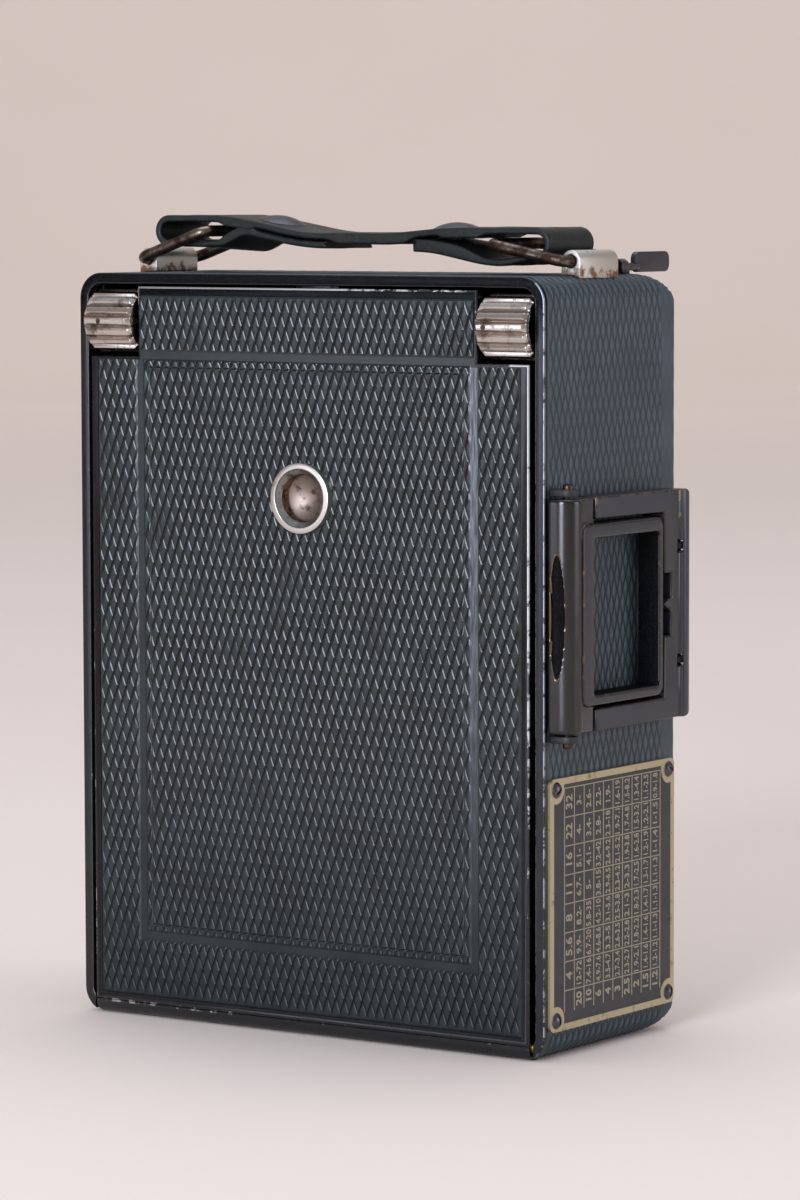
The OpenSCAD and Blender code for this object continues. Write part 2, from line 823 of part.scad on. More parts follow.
module finder_lugs_rear() {
  color(enamel) difference() {
    for (z = finder_rear_lugs)
      finder_lug(finder_rear_y, z - finder_lug_t / 2);
    finder_pin_rear();
  }
}

module finder_pin_rear() {
  inset = 2 * finder_arm_h;
  color(brass) rod_z(finder_z + inset, finder_top - inset, finder_axis_x, finder_rear_y, finder_pin_r);
}

module finder_front() {
  frame_top = finder_frame_z + finder_frame_h;
  frame_r = 1.6;
  window_r = 0.8;
  color(enamel) difference() {
    union() {
      rod_z(finder_z, finder_top, finder_axis_x, finder_front_y, finder_nose_r);
      block(finder_x0, finder_x1 - window_border, finder_front_y, finder_nose_end, finder_z, finder_top);
      slab_x(finder_x0, finder_x1)
        round_rect(finder_frame_y0, finder_frame_y1, finder_frame_z, frame_top, frame_r);
    }
    slab_x(finder_x0 - over, finder_x1 + over)
      round_rect(finder_frame_y0 + window_front, finder_frame_y1 - window_rear,
        finder_frame_z + window_low, frame_top - window_top, window_r);
    rod_z(finder_z - over, finder_top + over, finder_axis_x, finder_front_y, finder_pin_r + fit);
    rod_z(finder_z + nose_end_l, finder_top - nose_end_l,
      finder_axis_x, finder_front_y, finder_nose_r - nose_wall);
    rod_x(finder_x0 - over, finder_x1 + over, yf + finder_front_set + scallop_depth - scallop_r,
      finder_z + finder_h / 2, scallop_r);
  }
}

module finder_rear() {
  mid_z = finder_z + finder_h / 2;
  skin = finder_axis_x + lug_end_r + finder_lug_gap;
  color(enamel) difference() {
    intersection() {
      union() {
        rod_z(finder_z, finder_top, finder_axis_x, finder_rear_y, finder_nose_r);
        block(finder_x0, finder_x1 - window_border, finder_arm_y, finder_rear_y, finder_z, finder_top);
      }
      slab_x(finder_x0, finder_x1)
        half_round_rect(finder_arm_y, finder_rear_end, finder_z, finder_top, finder_corner_r);
    }
    block(finder_x0 - over, finder_x1 + over, finder_arm_y - over, finder_base_y,
      finder_z + finder_arm_h, finder_top - finder_arm_h);
    slab_x(finder_x0 - over, finder_x1 + over) difference() {
      rect(finder_base_y - over, finder_base_y + notch_depth, mid_z - notch_h / 2, mid_z + notch_h / 2);
      polygon([
        [finder_base_y, mid_z],
        [finder_base_y + notch_depth + over, mid_z - tooth_half],
        [finder_base_y + notch_depth + over, mid_z + tooth_half]
      ]);
    }
    for (z = finder_rear_lugs)
      block(finder_x0 - over, skin, finder_rear_y - lug_end_r - finder_lug_gap, finder_rear_end + over,
        z - finder_lug_t / 2 - finder_lug_gap, z + finder_lug_t / 2 + finder_lug_gap);
    rod_z(finder_z + finder_arm_h, finder_top - finder_arm_h,
      finder_axis_x, finder_rear_y, finder_pin_r + fit);
  }
}

// Lens, shutter and bellows

module standard_rails() {
  half = 3;
  y0 = yf + 4 * barrel_r;
  y1 = in_back - shrunk(rear_top_r, leather_t + wall);
  color(steel) both() block(rack_x - half, rack_x + half, y0, y1, in_floor, in_floor + rail_bar_h);
}

module standard_base() {
  y0 = board_back - standard_t;
  y1 = board_back + 2 * standard_t;
  color(enamel) block(-standard_in - standard_w, standard_in + standard_w, y0, y1,
    in_floor + rail_bar_h, standard_low);
}

module lens_standard() {
  out = standard_in + standard_w;
  top = lens_z + board_half_h + standard_w;
  color(enamel) slab_y(board_back, board_back + standard_t) difference() {
    round_rect(-out, out, standard_low, top, standard_w / 2);
    rect(-standard_in, standard_in, standard_low + standard_w, top + over);
  }
}

module lens_board() {
  color(enamel) difference() {
    slab_y(board_front, board_back)
      round_rect(-board_half_w, board_half_w, lens_z - board_half_h, lens_z + board_half_h, standard_w / 2);
    rod_y(board_front - over, board_back + over, 0, lens_z, rear_cell_r);
  }
}

module at_angle(angle) {
  translate([0, 0, lens_z]) rotate([0, -angle, 0]) children();
}

module shutter_case() {
  step = 1.4;
  color(enamel) difference() {
    union() {
      rod_y(shutter_front, board_front, 0, lens_z, shutter_r - step / 2);
      rod_y(shutter_front + step, board_front - step, 0, lens_z, shutter_r);
      rod_y(ring_front - ring_gap, shutter_front, 0, lens_z, ring_boss_r);
      for (a = [cocking_angle, release_angle])
        at_angle(a) rod_y(ring_front - ring_gap, shutter_front, lever_pivot, 0, lever_pin_r);
    }
    rod_y(lens_front, board_front - shutter_t / 2, 0, lens_z, barrel_tube_r);
  }
}

module shutter_blades() {
  blades = 5;
  blade_t = 0.3;
  seam = 0.15;
  y1 = board_front - shutter_t / 2;
  color(steel) difference() {
    rod_y(y1 - blade_t, y1, 0, lens_z, barrel_tube_r - fit);
    for (i = [0 : blades - 1])
      at_angle(i * 360 / blades) block(0, barrel_tube_r, y1 - blade_t - over, y1 + over, -seam / 2, seam / 2);
  }
}

module lens_barrel() {
  tube_back = shutter_front + shutter_t / 3;
  color(enamel) difference() {
    union() {
      rod_y(lens_front, tube_back, 0, lens_z, barrel_tube_r);
      rod_y(lens_front, lens_front + bezel_l, 0, lens_z, bezel_r);
    }
    rod_y(lens_front - over, tube_back + over, 0, lens_z, lens_r - lens_edge);
    translate([0, lens_front, lens_z]) rotate([-90, 0, 0])
      cylinder(h = bezel_l, r1 = bezel_r - wall, r2 = lens_r);
    rod_y(lens_front + bezel_l - over / 4, lens_front + bezel_l + lens_edge, 0, lens_z, lens_r);
  }
}

module front_lens() {
  y1 = lens_front + bezel_l + lens_edge;
  color(glass) intersection() {
    rod_y(lens_front + over / 2, y1, 0, lens_z, lens_r);
    translate([0, lens_front + bezel_l + sqrt(lens_curve * lens_curve - lens_r * lens_r), lens_z])
      sphere(lens_curve, $fn = 240);
  }
}

module rear_lens_cell() {
  flange = 1.5;
  color(brass) difference() {
    union() {
      rod_y(board_front, board_back + rear_cell_l, 0, lens_z, rear_cell_r);
      rod_y(board_back, board_back + flange, 0, lens_z, rear_cell_r + flange);
    }
    translate([0, board_back + rear_cell_l, lens_z]) rotate([90, 0, 0])
      cylinder(h = rear_cell_l / 2, r1 = rear_cell_r - flange, r2 = rear_cell_r / 2);
  }
}

module square_ring(y0, y1, out_x, out_z, in_x, in_z) {
  slab_y(y0, y1) translate([0, lens_z]) difference() {
    rect(-out_x, out_x, -out_z, out_z);
    rect(-in_x, in_x, -in_z, in_z);
  }
}

module bellows() {
  pitch = (bellows_l - sheet_t) / (bellows_sheets - 1);
  rear_x = gate_w / 2 + fold_depth / 2;
  rear_z = gate_h / 2 + fold_depth / 2;
  half = fold_depth / 2;
  seam = 0.5;
  function mid_x(k) = bellows_front_x + (rear_x - bellows_front_x) * k / (bellows_sheets - 1);
  function mid_z(k) = bellows_front_z + (rear_z - bellows_front_z) * k / (bellows_sheets - 1);
  color(cloth) for (k = [0 : bellows_sheets - 1]) {
    y = board_back + k * pitch;
    square_ring(y, y + sheet_t, mid_x(k) + half, mid_z(k) + half, mid_x(k) - half, mid_z(k) - half);
    if (k < bellows_sheets - 1) {
      out_x = k % 2 == 0 ? mid_x(k) + half : mid_x(k + 1) - half + seam;
      out_z = k % 2 == 0 ? mid_z(k) + half : mid_z(k + 1) - half + seam;
      square_ring(y + sheet_t, y + pitch, out_x, out_z, out_x - seam, out_z - seam);
    }
  }
}

module bellows_frame() {
  color(steel) square_ring(bellows_back, in_back, gate_w / 2 + fold_depth, gate_h / 2 + fold_depth,
    gate_w / 2, gate_h / 2);
}

module speed_ring() {
  grip = 1.2;
  grips = 36;
  color(nickel) difference() {
    rod_y(ring_front, ring_back, 0, lens_z, ring_r);
    rod_y(ring_front - over, ring_back + over, 0, lens_z, ring_boss_r + fit);
    for (i = [0 : grips - 1])
      at_angle(i * 360 / grips) rod_y(ring_front - over, ring_back + over, ring_r + grip / 4, 0, grip / 2);
  }
}

module aperture_lever() {
  y0 = ring_front - ring_gap * 2 - lever_t;
  reach = ring_r + lever_half_w;
  color(brass) difference() {
    union() {
      rod_y(y0, y0 + lever_t, 0, lens_z, ring_boss_r);
      block(-lever_half_w, lever_half_w, y0, y0 + lever_t, lens_z - reach, lens_z);
    }
    rod_y(y0 - over, y0 + lever_t + over, 0, lens_z, barrel_tube_r + fit);
  }
}

module lever(angle) {
  color(nickel) at_angle(angle) difference() {
    slab_y(ring_back - lever_t, ring_back) translate([lever_pivot, 0]) stadium(0, lever_l, lever_half_w);
    rod_y(ring_front - over, ring_back + over, lever_pivot, 0, lever_pin_r + fit);
  }
}

module cocking_lever() {
  lever(cocking_angle);
}

module release_lever() {
  lever(release_angle);
}

// Bed

module bed_outline(inset) {
  difference() {
    rect(-bed_x + inset, bed_x - inset, bed_low + inset, bed_top - inset);
    for (s = [-1, 1])
      scale([s, 1])
        rect(notch_x - min(inset, bay_room), bed_x + over, notch_z - min(inset, bay_room), bed_top + over);
  }
}

module bed_plate() {
  catch_low = 3;
  catch_high = 1.2;
  catch_depth = 1.4;
  slot_room = 0.4;
  color(enamel) difference() {
    union() {
      slab_y(plate_y, plate_back) bed_outline(0);
      slab_y(yf - lip_proud, plate_y) difference() {
        bed_outline(0);
        bed_outline(lip_w);
      }
      rod_x(-bed_x, bed_x, hinge_y, hinge_z, barrel_r);
      block(-spring_half, spring_half, plate_back, plate_back + catch_depth, bed_top - catch_low,
        bed_top - catch_high);
    }
    rod_x(-bed_x - over, bed_x + over, hinge_y, hinge_z, hinge_pin_r + fit);
    rod_y(yf - over, plate_back + over, 0, bush_z, bush_r);
    both() block(rack_x - rack_w / 2 - slot_room, rack_x + rack_w / 2 + slot_room, plate_y - over,
      plate_back + over, knob_z - pinion_tip - slot_room, knob_z + pinion_tip + slot_room);
  }
}

module press_rect(grow) {
  half_w = bed_x - press_side - grow;
  rect(-half_w, half_w, bed_low + press_end + grow, bed_top - press_end - grow);
}

module bed_leather() {
  front = yf - bed_leather_proud;
  color(hide) difference() {
    slab_y(front, plate_y) bed_outline(lip_w);
    slab_y(front - over, front + press_depth) difference() {
      press_rect(0);
      press_rect(press_w);
    }
    rod_y(front - over, plate_y + over, 0, bush_z, bush_r);
  }
}

bush_front = yf - bed_leather_proud - bush_proud;
bush_back = plate_back + bush_in;

module tripod_bush() {
  color(nickel) difference() {
    union() {
      rod_y(bush_front, bush_back, 0, bush_z, bush_r);
      rod_y(plate_back, plate_back + bush_flange_t, 0, bush_z, bush_flange_r);
    }
    rod_y(bush_front - over, bush_back + over, 0, bush_z, bush_bore_r);
    translate([0, bush_front, bush_z]) rotate([-90, 0, 0])
      cylinder(h = bush_mouth_depth, r1 = bush_mouth_r, r2 = bush_bore_r);
  }
}

module track_guides() {
  x0 = track_x - guide_groove + slide_gap * 2;
  color(enamel) both() difference() {
    block(x0, x0 + guide_w, plate_back, guide_back, track_z, guide_top);
    block(x0 - over, track_x + slide_gap, track_y - slide_gap, track_y + track_t + slide_gap,
      track_z - over, guide_top + over);
  }
}

module shaft_bearings() {
  reach = shaft_r + bearing_wall;
  color(brass) both() difference() {
    slab_x(bearing_x - bearing_w / 2, bearing_x + bearing_w / 2) {
      translate([knob_y, knob_z]) circle(reach);
      rect(plate_back, knob_y, knob_z - reach, knob_z + reach);
    }
    block(0, in_x, yf - over, plate_back, knob_z - knob_r, knob_z + knob_r);
    rod_x(bearing_x - bearing_w, bearing_x + bearing_w, knob_y, knob_z, shaft_r + fit);
  }
}

bracket_x1 = stay_x0 - slide_gap;
bracket_x0 = bracket_x1 - stay_t;
bracket_r = stay_head_r + slide_gap;

module stay_brackets() {
  color(enamel) both() difference() {
    slab_x(bracket_x0, bracket_x1) {
      translate(stay_p) circle(bracket_r);
      rect(plate_back, stay_p[0], stay_p[1] - bracket_r, stay_p[1] + bracket_r);
    }
    block(0, in_x, yf - over, plate_back, stay_p[1] - stay_arm, stay_p[1] + stay_arm);
    rod_x(bracket_x0 - over, bracket_x1 + over, stay_p[0], stay_p[1], stay_pin_r);
  }
}

module stay_rivets() {
  out = stay_x1 + slide_gap;
  color(steel) both() {
    rod_x(bracket_x0, out, stay_p[0], stay_p[1], stay_pin_r);
    rod_x(out, out + stay_head_t, stay_p[0], stay_p[1], stay_head_r);
    rod_x(bracket_x0 - stay_head_t, bracket_x0, stay_p[0], stay_p[1], stay_head_r);
  }
}

module stay_studs() {
  in = stay_x0 - slide_gap;
  color(steel) both() {
    rod_x(in, in_x + wall / 2, stay_q[0], stay_q[1], stay_pin_r);
    rod_x(in - stay_head_t, in, stay_q[0], stay_q[1], stay_head_r);
  }
}

module stay_right() {
  color(enamel) translate([stay_x0, stay_p[0], stay_p[1]]) rotate([-stay_tilt, 0, 0]) slab_x(0, stay_t)
    difference() {
      stadium(0, stay_far + stay_slot_gap, stay_half_w);
      stadium(stay_near - stay_slot_gap, stay_far + stay_slot_gap, stay_pin_r + stay_slot_gap);
      circle(stay_pin_r + fit);
    }
}

module stay_left() {
  mirror([1, 0, 0]) stay_right();
}

module distance_scale() {
  x0 = track_x + guide_w + 2 * slide_gap;
  z1 = guide_top - scale_w;
  color(nickel) slab_y(plate_back, plate_back + scale_t)
    round_rect(x0, x0 + scale_w, z1 - scale_l, z1, scale_t);
}

// Track, racks and drive

module focus_track() {
  inner = track_x - track_side_w;
  color(nickel) slab_y(track_y, track_y + track_t) difference() {
    rect(-track_x, track_x, track_z, track_top);
    rect(-inner, inner, track_z + track_foot, track_top + over);
  }
}

module focus_racks() {
  count = floor(rack_len / tooth_pitch) - 1;
  half = tooth_pitch / 4 - backlash / 2;
  tip_half = half - rack_add * tan(pressure);
  root_half = half + (rack_root - rack_line) * tan(pressure);
  first = knob_z + tooth_pitch * (floor((track_top - knob_z) / tooth_pitch - 1) + 0.5);
  teeth = [
    for (i = [0 : count - 1])
      let (z = first - i * tooth_pitch)
        each [
          [rack_root, z + root_half],
          [rack_line - rack_add, z + tip_half],
          [rack_line - rack_add, z - tip_half],
          [rack_root, z - root_half]
        ]
  ];
  color(brass) both() slab_x(rack_x - rack_w / 2, rack_x + rack_w / 2)
    polygon(concat(
      [[track_y, track_top], [rack_root, track_top]],
      teeth,
      [[rack_root, rack_low], [track_y, rack_low]]
    ));
}

module pinion_shaft() {
  color(steel) rod_x(-knob_out + knob_cup_depth, knob_out - knob_cup_depth, knob_y, knob_z, shaft_r);
}

function involute(a) = tan(a) * 180 / PI - a;

// Half angle of a pinion tooth at radius r
function tooth_half_angle(r) =
  let (base = pitch_r * cos(pressure))
    90 / pinion_teeth - backlash / 2 / pitch_r * 180 / PI
      + involute(pressure) - involute(acos(min(1, base / r)));

module pinion_outline() {
  steps = 4;
  start = max(pitch_r * cos(pressure), pinion_root);
  flank = [for (i = [0 : steps]) start + (pinion_tip - start) * i / steps];
  points = [
    for (tooth = [0 : pinion_teeth - 1])
      let (mid = tooth * 360 / pinion_teeth)
        each concat(
          [pinion_root * [cos(mid - tooth_half_angle(start)), sin(mid - tooth_half_angle(start))]],
          [for (r = flank) r * [cos(mid - tooth_half_angle(r)), sin(mid - tooth_half_angle(r))]],
          [for (i = [steps : -1 : 0])
            let (r = flank[i]) r * [cos(mid + tooth_half_angle(r)), sin(mid + tooth_half_angle(r))]],
          [pinion_root * [cos(mid + tooth_half_angle(start)), sin(mid + tooth_half_angle(start))]]
        )
  ];
  polygon(points);
}

module pinions() {
  color(brass) both() slab_x(rack_x - rack_w / 2, rack_x + rack_w / 2)
    translate([knob_y, knob_z]) difference() {
      pinion_outline();
      circle(shaft_r);
    }
}

module knob_right() {
  color(nickel) difference() {
    rod_x(knob_in, knob_out, knob_y, knob_z, knob_r);
    for (i = [0 : knob_flutes - 1])
      let (a = (i + 0.5) * 360 / knob_flutes)
        rod_x(knob_in - over, knob_out + over, knob_y + knob_r * cos(a), knob_z + knob_r * sin(a), flute_r);
    rod_x(knob_out - knob_cup_depth, knob_out + over, knob_y, knob_z, knob_cup_r);
    rod_x(knob_in - over, knob_in + knob_cup_depth, knob_y, knob_z, knob_cup_r);
    rod_x(knob_in - over, knob_out + over, knob_y, knob_z, shaft_r);
    knob_pin_right();
  }
}

module knob_left() {
  mirror([1, 0, 0]) knob_right();
}

// Pin across a knob and its shaft, seen at the front of the fluted rim
module knob_pin_right() {
  sunk = 2 * flute_r;
  rod_y(knob_y - knob_r + sunk, knob_y - shaft_r, (knob_in + knob_out) / 2, knob_z, knob_pin_r);
}

module knob_pins() {
  color(brass) both() difference() {
    knob_pin_right();
    rod_x(knob_in, knob_out, knob_y, knob_z, shaft_r);
  }
}

// Handle

function ease(a, b, t) = a + (b - a) * (1 - cos(180 * min(1, max(0, t)))) / 2;

// Height of the strap's upper layer along the camera
function strap_top(x) =
  x < 0
    ? ease(body_h + strap_mid, bar_left[1] + strap_off, (-x - strap_knee) / (-bar_left[0] - strap_knee))
    : ease(body_h + strap_mid, bar_right[1] + strap_off, (x - strap_knee) / (bar_right[0] - 2 * strap_knee));

function strap_under(x) = strap_top(x) - strap_t - strap_layer_gap;

function tail_left(x) =
  ease(strap_under(x), bar_left[1] - strap_off, (-x - strap_rivet_left - strap_clench_r)
    / (-bar_left[0] - strap_rivet_left - 2 * strap_clench_r));

function tail_right(x) =
  ease(strap_under(x), bar_right[1] - strap_off, (x - strap_rivet_right - strap_clench_r)
    / (bar_right[0] - strap_rivet_right - 2 * strap_clench_r));

// Evenly spaced values from a to b
function spread(a, b, step) =
  let (n = max(1, ceil(abs(b - a) / step)))
    [for (i = [0 : n]) a + (b - a) * i / n];

// Middle line of the strap: left tail, left fold, upper layer, right fold, right tail
function strap_line() =
  let (
    turn_left = -strap_left + strap_off + strap_t / 2,
    turn_right = strap_right - strap_off - strap_t / 2,
    fold_step = 20
  )
    concat(
      [for (x = spread(-strap_tail_left, turn_left, strap_step)) [x, tail_left(x)]],
      [for (a = [fold_step : fold_step : 180 - fold_step])
        [turn_left - strap_off * sin(a), bar_left[1] - strap_off * cos(a)]],
      [for (x = spread(turn_left, turn_right, strap_step)) [x, strap_top(x)]],
      [for (a = [fold_step : fold_step : 180 - fold_step])
        [turn_right + strap_off * sin(a), bar_right[1] + strap_off * cos(a)]],
      [for (x = spread(turn_right, strap_tail_right, strap_step)) [x, tail_right(x)]]
    );

// Points beside a line, on one side of it
function beside(line, d) =
  [
    for (i = [0 : len(line) - 1])
      let (
        a = line[max(0, i - 1)],
        b = line[min(len(line) - 1, i + 1)],
        u = (b - a) / norm(b - a)
      )
        line[i] + d * [-u[1], u[0]]
  ];

module handle_strap() {
  line = strap_line();
  left = beside(line, strap_t / 2);
  right = beside(line, -strap_t / 2);
  back = [for (i = [len(right) - 1 : -1 : 0]) right[i]];
  color(hide) difference() {
    slab_y(handle_y - strap_w / 2, handle_y + strap_w / 2) polygon(concat(left, back));
    handle_rivets();
  }
}

// Slope of the strap's upper layer across a rivet's head
function strap_slope(x) =
  atan2(strap_top(x + strap_rivet_r) - strap_top(x - strap_rivet_r), 2 * strap_rivet_r);

// The rivets stand square to the strap and seat themselves in the leather, which is cut to their form
module handle_rivets() {
  deep = strap_t + strap_layer_gap + strap_t;
  color(enamel) for (x = [-strap_rivet_left, strap_rivet_right]) {
    translate([x, handle_y, strap_top(x) + strap_t / 2]) rotate([0, -strap_slope(x), 0]) {
      rod_z(-deep, 0, 0, 0, strap_shank_r);
      dome(strap_rivet_r, strap_rivet_h);
      translate([0, 0, -deep]) mirror([0, 0, 1]) dome(strap_clench_r, strap_clench_h);
    }
  }
}

// Wire loop with its hinge bar on the axis x = 0, reaching towards +X
module loop(rise) {
  bar = loop_half_w - loop_bend;
  near = loop_bend;
  far = loop_l - loop_bend;
  elbows = [[far, bar, 0], [near, bar, 90], [near, -bar, 180], [far, -bar, 270]];
  rotate([0, -rise, 0]) {
    for (x = [0, loop_l])
      rod_y(-bar, bar, x, 0, wire_r);
    for (y = [-loop_half_w, loop_half_w])
      rod_x(near, far, y, 0, wire_r);
    for (e = elbows)
      translate([e[0], e[1], 0]) rotate(e[2])
        rotate_extrude(angle = 90) translate([loop_bend, 0]) circle(wire_r);
  }
}

module loop_left() {
  color(nickel) translate([-lug_x, handle_y, lug_z]) loop(loop_left_rise);
}

module loop_right() {
  color(nickel) translate([lug_x, handle_y, lug_z]) mirror([1, 0, 0]) loop(loop_right_rise);
}

// Back catch

catch_z = body_h + catch_axis;
catch_y0 = yf + catch_set;
saddle_wall = 0.7;
catch_pin_y = handle_y + loop_half_w + wire_r + catch_loop_gap;
saddle_y0 = catch_pin_y + saddle_wall;

module catch_saddle() {
  r = catch_pin_r + saddle_wall;
  color(nickel) difference() {
    slab_y(saddle_y0, saddle_y0 + saddle_l) translate([catch_x, catch_z]) {
      circle(r);
      rect(-r, r, -catch_axis - over, 0);
    }
    body_form(0, yf);
    rod_y(saddle_y0 - over, saddle_y0 + saddle_l + over, catch_x, catch_z, catch_pin_r + fit);
  }
}

module back_catch() {
  corner = 1.2;
  color(enamel) union() {
    rod_y(catch_pin_y, catch_y0 + corner, catch_x, catch_z, catch_pin_r);
    slab_x(catch_x - catch_t / 2, catch_x + catch_t / 2)
      round_rect(catch_y0, catch_y0 + catch_l, catch_z - catch_below, catch_z + catch_above, corner);
  }
}

// Focusing back

module back_rails() {
  lip_y = frame_back + rail_gap;
  color(enamel) difference() {
    union() {
      block(-rail_x, rail_x, cas_back, rail_y, rail_low, rail_top);
      block(-rail_x, rail_x, rail_y, lip_y + rail_lip_t, rail_low, rail_low + rail_wall);
      both() {
        block(rail_x - rail_wall, rail_x, rail_y, lip_y + rail_lip_t, rail_low, rail_top);
        block(rail_x - rail_wall - rail_lip, rail_x, lip_y, lip_y + rail_lip_t, rail_low, rail_top);
      }
    }
    gate(cas_back - over, rail_y + over, 0);
  }
}

module focusing_frame() {
  ear_x = frame_x + ear_reach;
  collar_low = frame_low + rail_wall;
  lug_out = flap_axis_x + hood_lug_t / 2;
  color(enamel) difference() {
    union() {
      block(-frame_x, frame_x, frame_y, frame_back, frame_low, frame_top);
      block(-ear_x, ear_x, frame_y, frame_back, frame_top - ear_h, frame_top);
      block(-collar_x, collar_x, frame_back, collar_back, collar_low, rail_top);
      both() {
        block(lug_out - hood_lug_t, lug_out, collar_back, hood_axis_y + 2 * hood_pin_r,
          hood_axis_z - hood_lug_t, hood_axis_z + hood_lug_t);
        for (z = [flap_low - hood_lug_t - hood_gap, flap_top + hood_gap])
          block(flap_axis_x - hood_lug_t / 2, flap_axis_x + hood_lug_t / 2, collar_back,
            flap_axis_y + (flap_pin_r + flap_barrel_r) / 2, z, z + hood_lug_t - hood_gap);
      }
    }
    gate(frame_y - over, frame_y + glass_t + rail_gap, 0);
    gate(frame_y, collar_back + over, -glass_seat);
    hood_pins();
  }
}

module ground_glass() {
  color(glass) gate(frame_y + rail_gap, frame_y + rail_gap + glass_t, -rail_gap);
}

module hood_pins() {
  out = flap_axis_x + hood_lug_t / 2;
  color(steel) {
    rod_x(-out, out, hood_axis_y, hood_axis_z, hood_pin_r);
    both() rod_z(flap_low - hood_lug_t, flap_top + hood_lug_t, flap_axis_x, flap_axis_y, flap_pin_r);
  }
}

module hood_cover() {
  half = flap_axis_x - hood_lug_t / 2 - hood_gap;
  low = flap_low - hood_lug_t - hood_gap;
  wide = collar_x;
  color(enamel) difference() {
    union() {
      block(-half, half, hood_y, hood_y + hood_t, low, hood_axis_z);
      slab_y(hood_y, hood_y + hood_t)
        round_rect(-wide, wide, low, hood_axis_z - hood_lug_t - hood_gap, hood_lug_t);
      rod_x(-half, half, hood_axis_y, hood_axis_z, hood_barrel_r);
    }
    rod_x(-half - over, half + over, hood_axis_y, hood_axis_z, hood_pin_r + fit);
  }
}

module hood_flap_right() {
  color(hide) difference() {
    union() {
      rod_z(flap_low, flap_top, flap_axis_x, flap_axis_y, flap_barrel_r);
      slab_y(flap_y, flap_y + flap_t) polygon([
        [flap_axis_x, flap_low],
        [flap_axis_x, flap_top],
        [flap_axis_x - flap_w, flap_top - flap_w],
        [flap_axis_x - flap_w, flap_low]
      ]);
    }
    rod_z(flap_low - over, flap_top + over, flap_axis_x, flap_axis_y, flap_pin_r + fit);
  }
}

module hood_flap_left() {
  mirror([1, 0, 0]) hood_flap_right();
}

body_casing();
body_leather();
hinge_pin();
bed_spring();
handle_lugs();
table_plate();
table_screws();
finder_lugs_front();
finder_pin_front();
finder_lugs_rear();
finder_pin_rear();
catch_saddle();
standard_rails();
standard_base();
lens_standard();
lens_board();
shutter_case();
shutter_blades();
lens_barrel();
front_lens();
rear_lens_cell();
bellows();
bellows_frame();
back_rails();
stay_studs();
bed_plate();
bed_leather();
tripod_bush();
track_guides();
shaft_bearings();
stay_brackets();
stay_rivets();
distance_scale();
focus_track();
focus_racks();
pinion_shaft();
pinions();
knob_left();
knob_right();
knob_pins();
stay_left();
stay_right();
finder_front();
finder_rear();
handle_strap();
handle_rivets();
loop_left();
loop_right();
back_catch();
focusing_frame();
ground_glass();
hood_cover();
hood_pins();
hood_flap_left();
hood_flap_right();
speed_ring();
aperture_lever();
cocking_lever();
release_lever();
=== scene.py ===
# %% [markdown]
# # A folding plate camera, closed
# The solids of this camera come in at their real size, in metres, and stay where they are. This lesson gives them
# their surfaces: embossed leather, baked enamel rubbed through at the edges, nickel that has gone dull, an etched
# plate and a worn strap. Every size below is written in millimetres and turned to metres at the last step.

import json
import math
from contextlib import contextmanager

import bmesh
import bpy
import numpy as np
from mathutils import Matrix, Vector
from mathutils.geometry import tessellate_polygon


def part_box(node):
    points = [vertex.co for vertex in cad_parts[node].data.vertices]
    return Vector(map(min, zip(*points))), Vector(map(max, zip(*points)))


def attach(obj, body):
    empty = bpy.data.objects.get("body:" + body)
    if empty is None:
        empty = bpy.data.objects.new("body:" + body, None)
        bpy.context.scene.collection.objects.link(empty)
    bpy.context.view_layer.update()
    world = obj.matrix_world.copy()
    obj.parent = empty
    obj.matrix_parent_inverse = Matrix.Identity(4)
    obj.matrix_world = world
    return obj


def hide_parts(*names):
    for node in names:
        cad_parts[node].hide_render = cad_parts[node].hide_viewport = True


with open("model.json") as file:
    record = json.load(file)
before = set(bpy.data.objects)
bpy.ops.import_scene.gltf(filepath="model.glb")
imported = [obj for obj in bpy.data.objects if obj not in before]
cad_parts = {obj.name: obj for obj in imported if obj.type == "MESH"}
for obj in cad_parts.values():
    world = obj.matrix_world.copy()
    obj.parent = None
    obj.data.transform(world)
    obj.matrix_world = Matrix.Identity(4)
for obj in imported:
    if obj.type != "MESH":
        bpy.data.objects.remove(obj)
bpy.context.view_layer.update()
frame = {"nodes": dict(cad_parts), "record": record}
MM = 0.001


def shown(name, data):
    """A new object in the scene."""
    made = bpy.data.objects.new(name, data)
    bpy.context.scene.collection.objects.link(made)
    return made


def box_mm(node):
    """Lowest and highest corner of a solid, in millimetres."""
    return (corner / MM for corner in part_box(node))


# %% [markdown]
# ## The camera that takes the picture
# The photograph was taken with a long lens from the front right, a little above the middle of the object. The place
# and the angles were worked out from the straight edges of the body. Blender measures the sensor along the longer
# side of the picture, so the focal length in pixels is scaled to that side.

# %% Place the viewing camera
PICTURE_HEIGHT_PX = 1200
FOCAL_PX = 4853.6
SENSOR_MM = 36
VIEW_FROM = Vector((433.2, -626.35, 131.22))
VIEW_YAW, VIEW_PITCH, VIEW_ROLL = (math.radians(a) for a in (-34.388, -4.8535, -0.149))

forward = Vector((
    math.sin(VIEW_YAW) * math.cos(VIEW_PITCH),
    math.cos(VIEW_YAW) * math.cos(VIEW_PITCH),
    math.sin(VIEW_PITCH),
))
level = Vector((math.cos(VIEW_YAW), -math.sin(VIEW_YAW), 0))
above = level.cross(forward)
right = math.cos(VIEW_ROLL) * level + math.sin(VIEW_ROLL) * above
upward = math.cos(VIEW_ROLL) * above - math.sin(VIEW_ROLL) * level

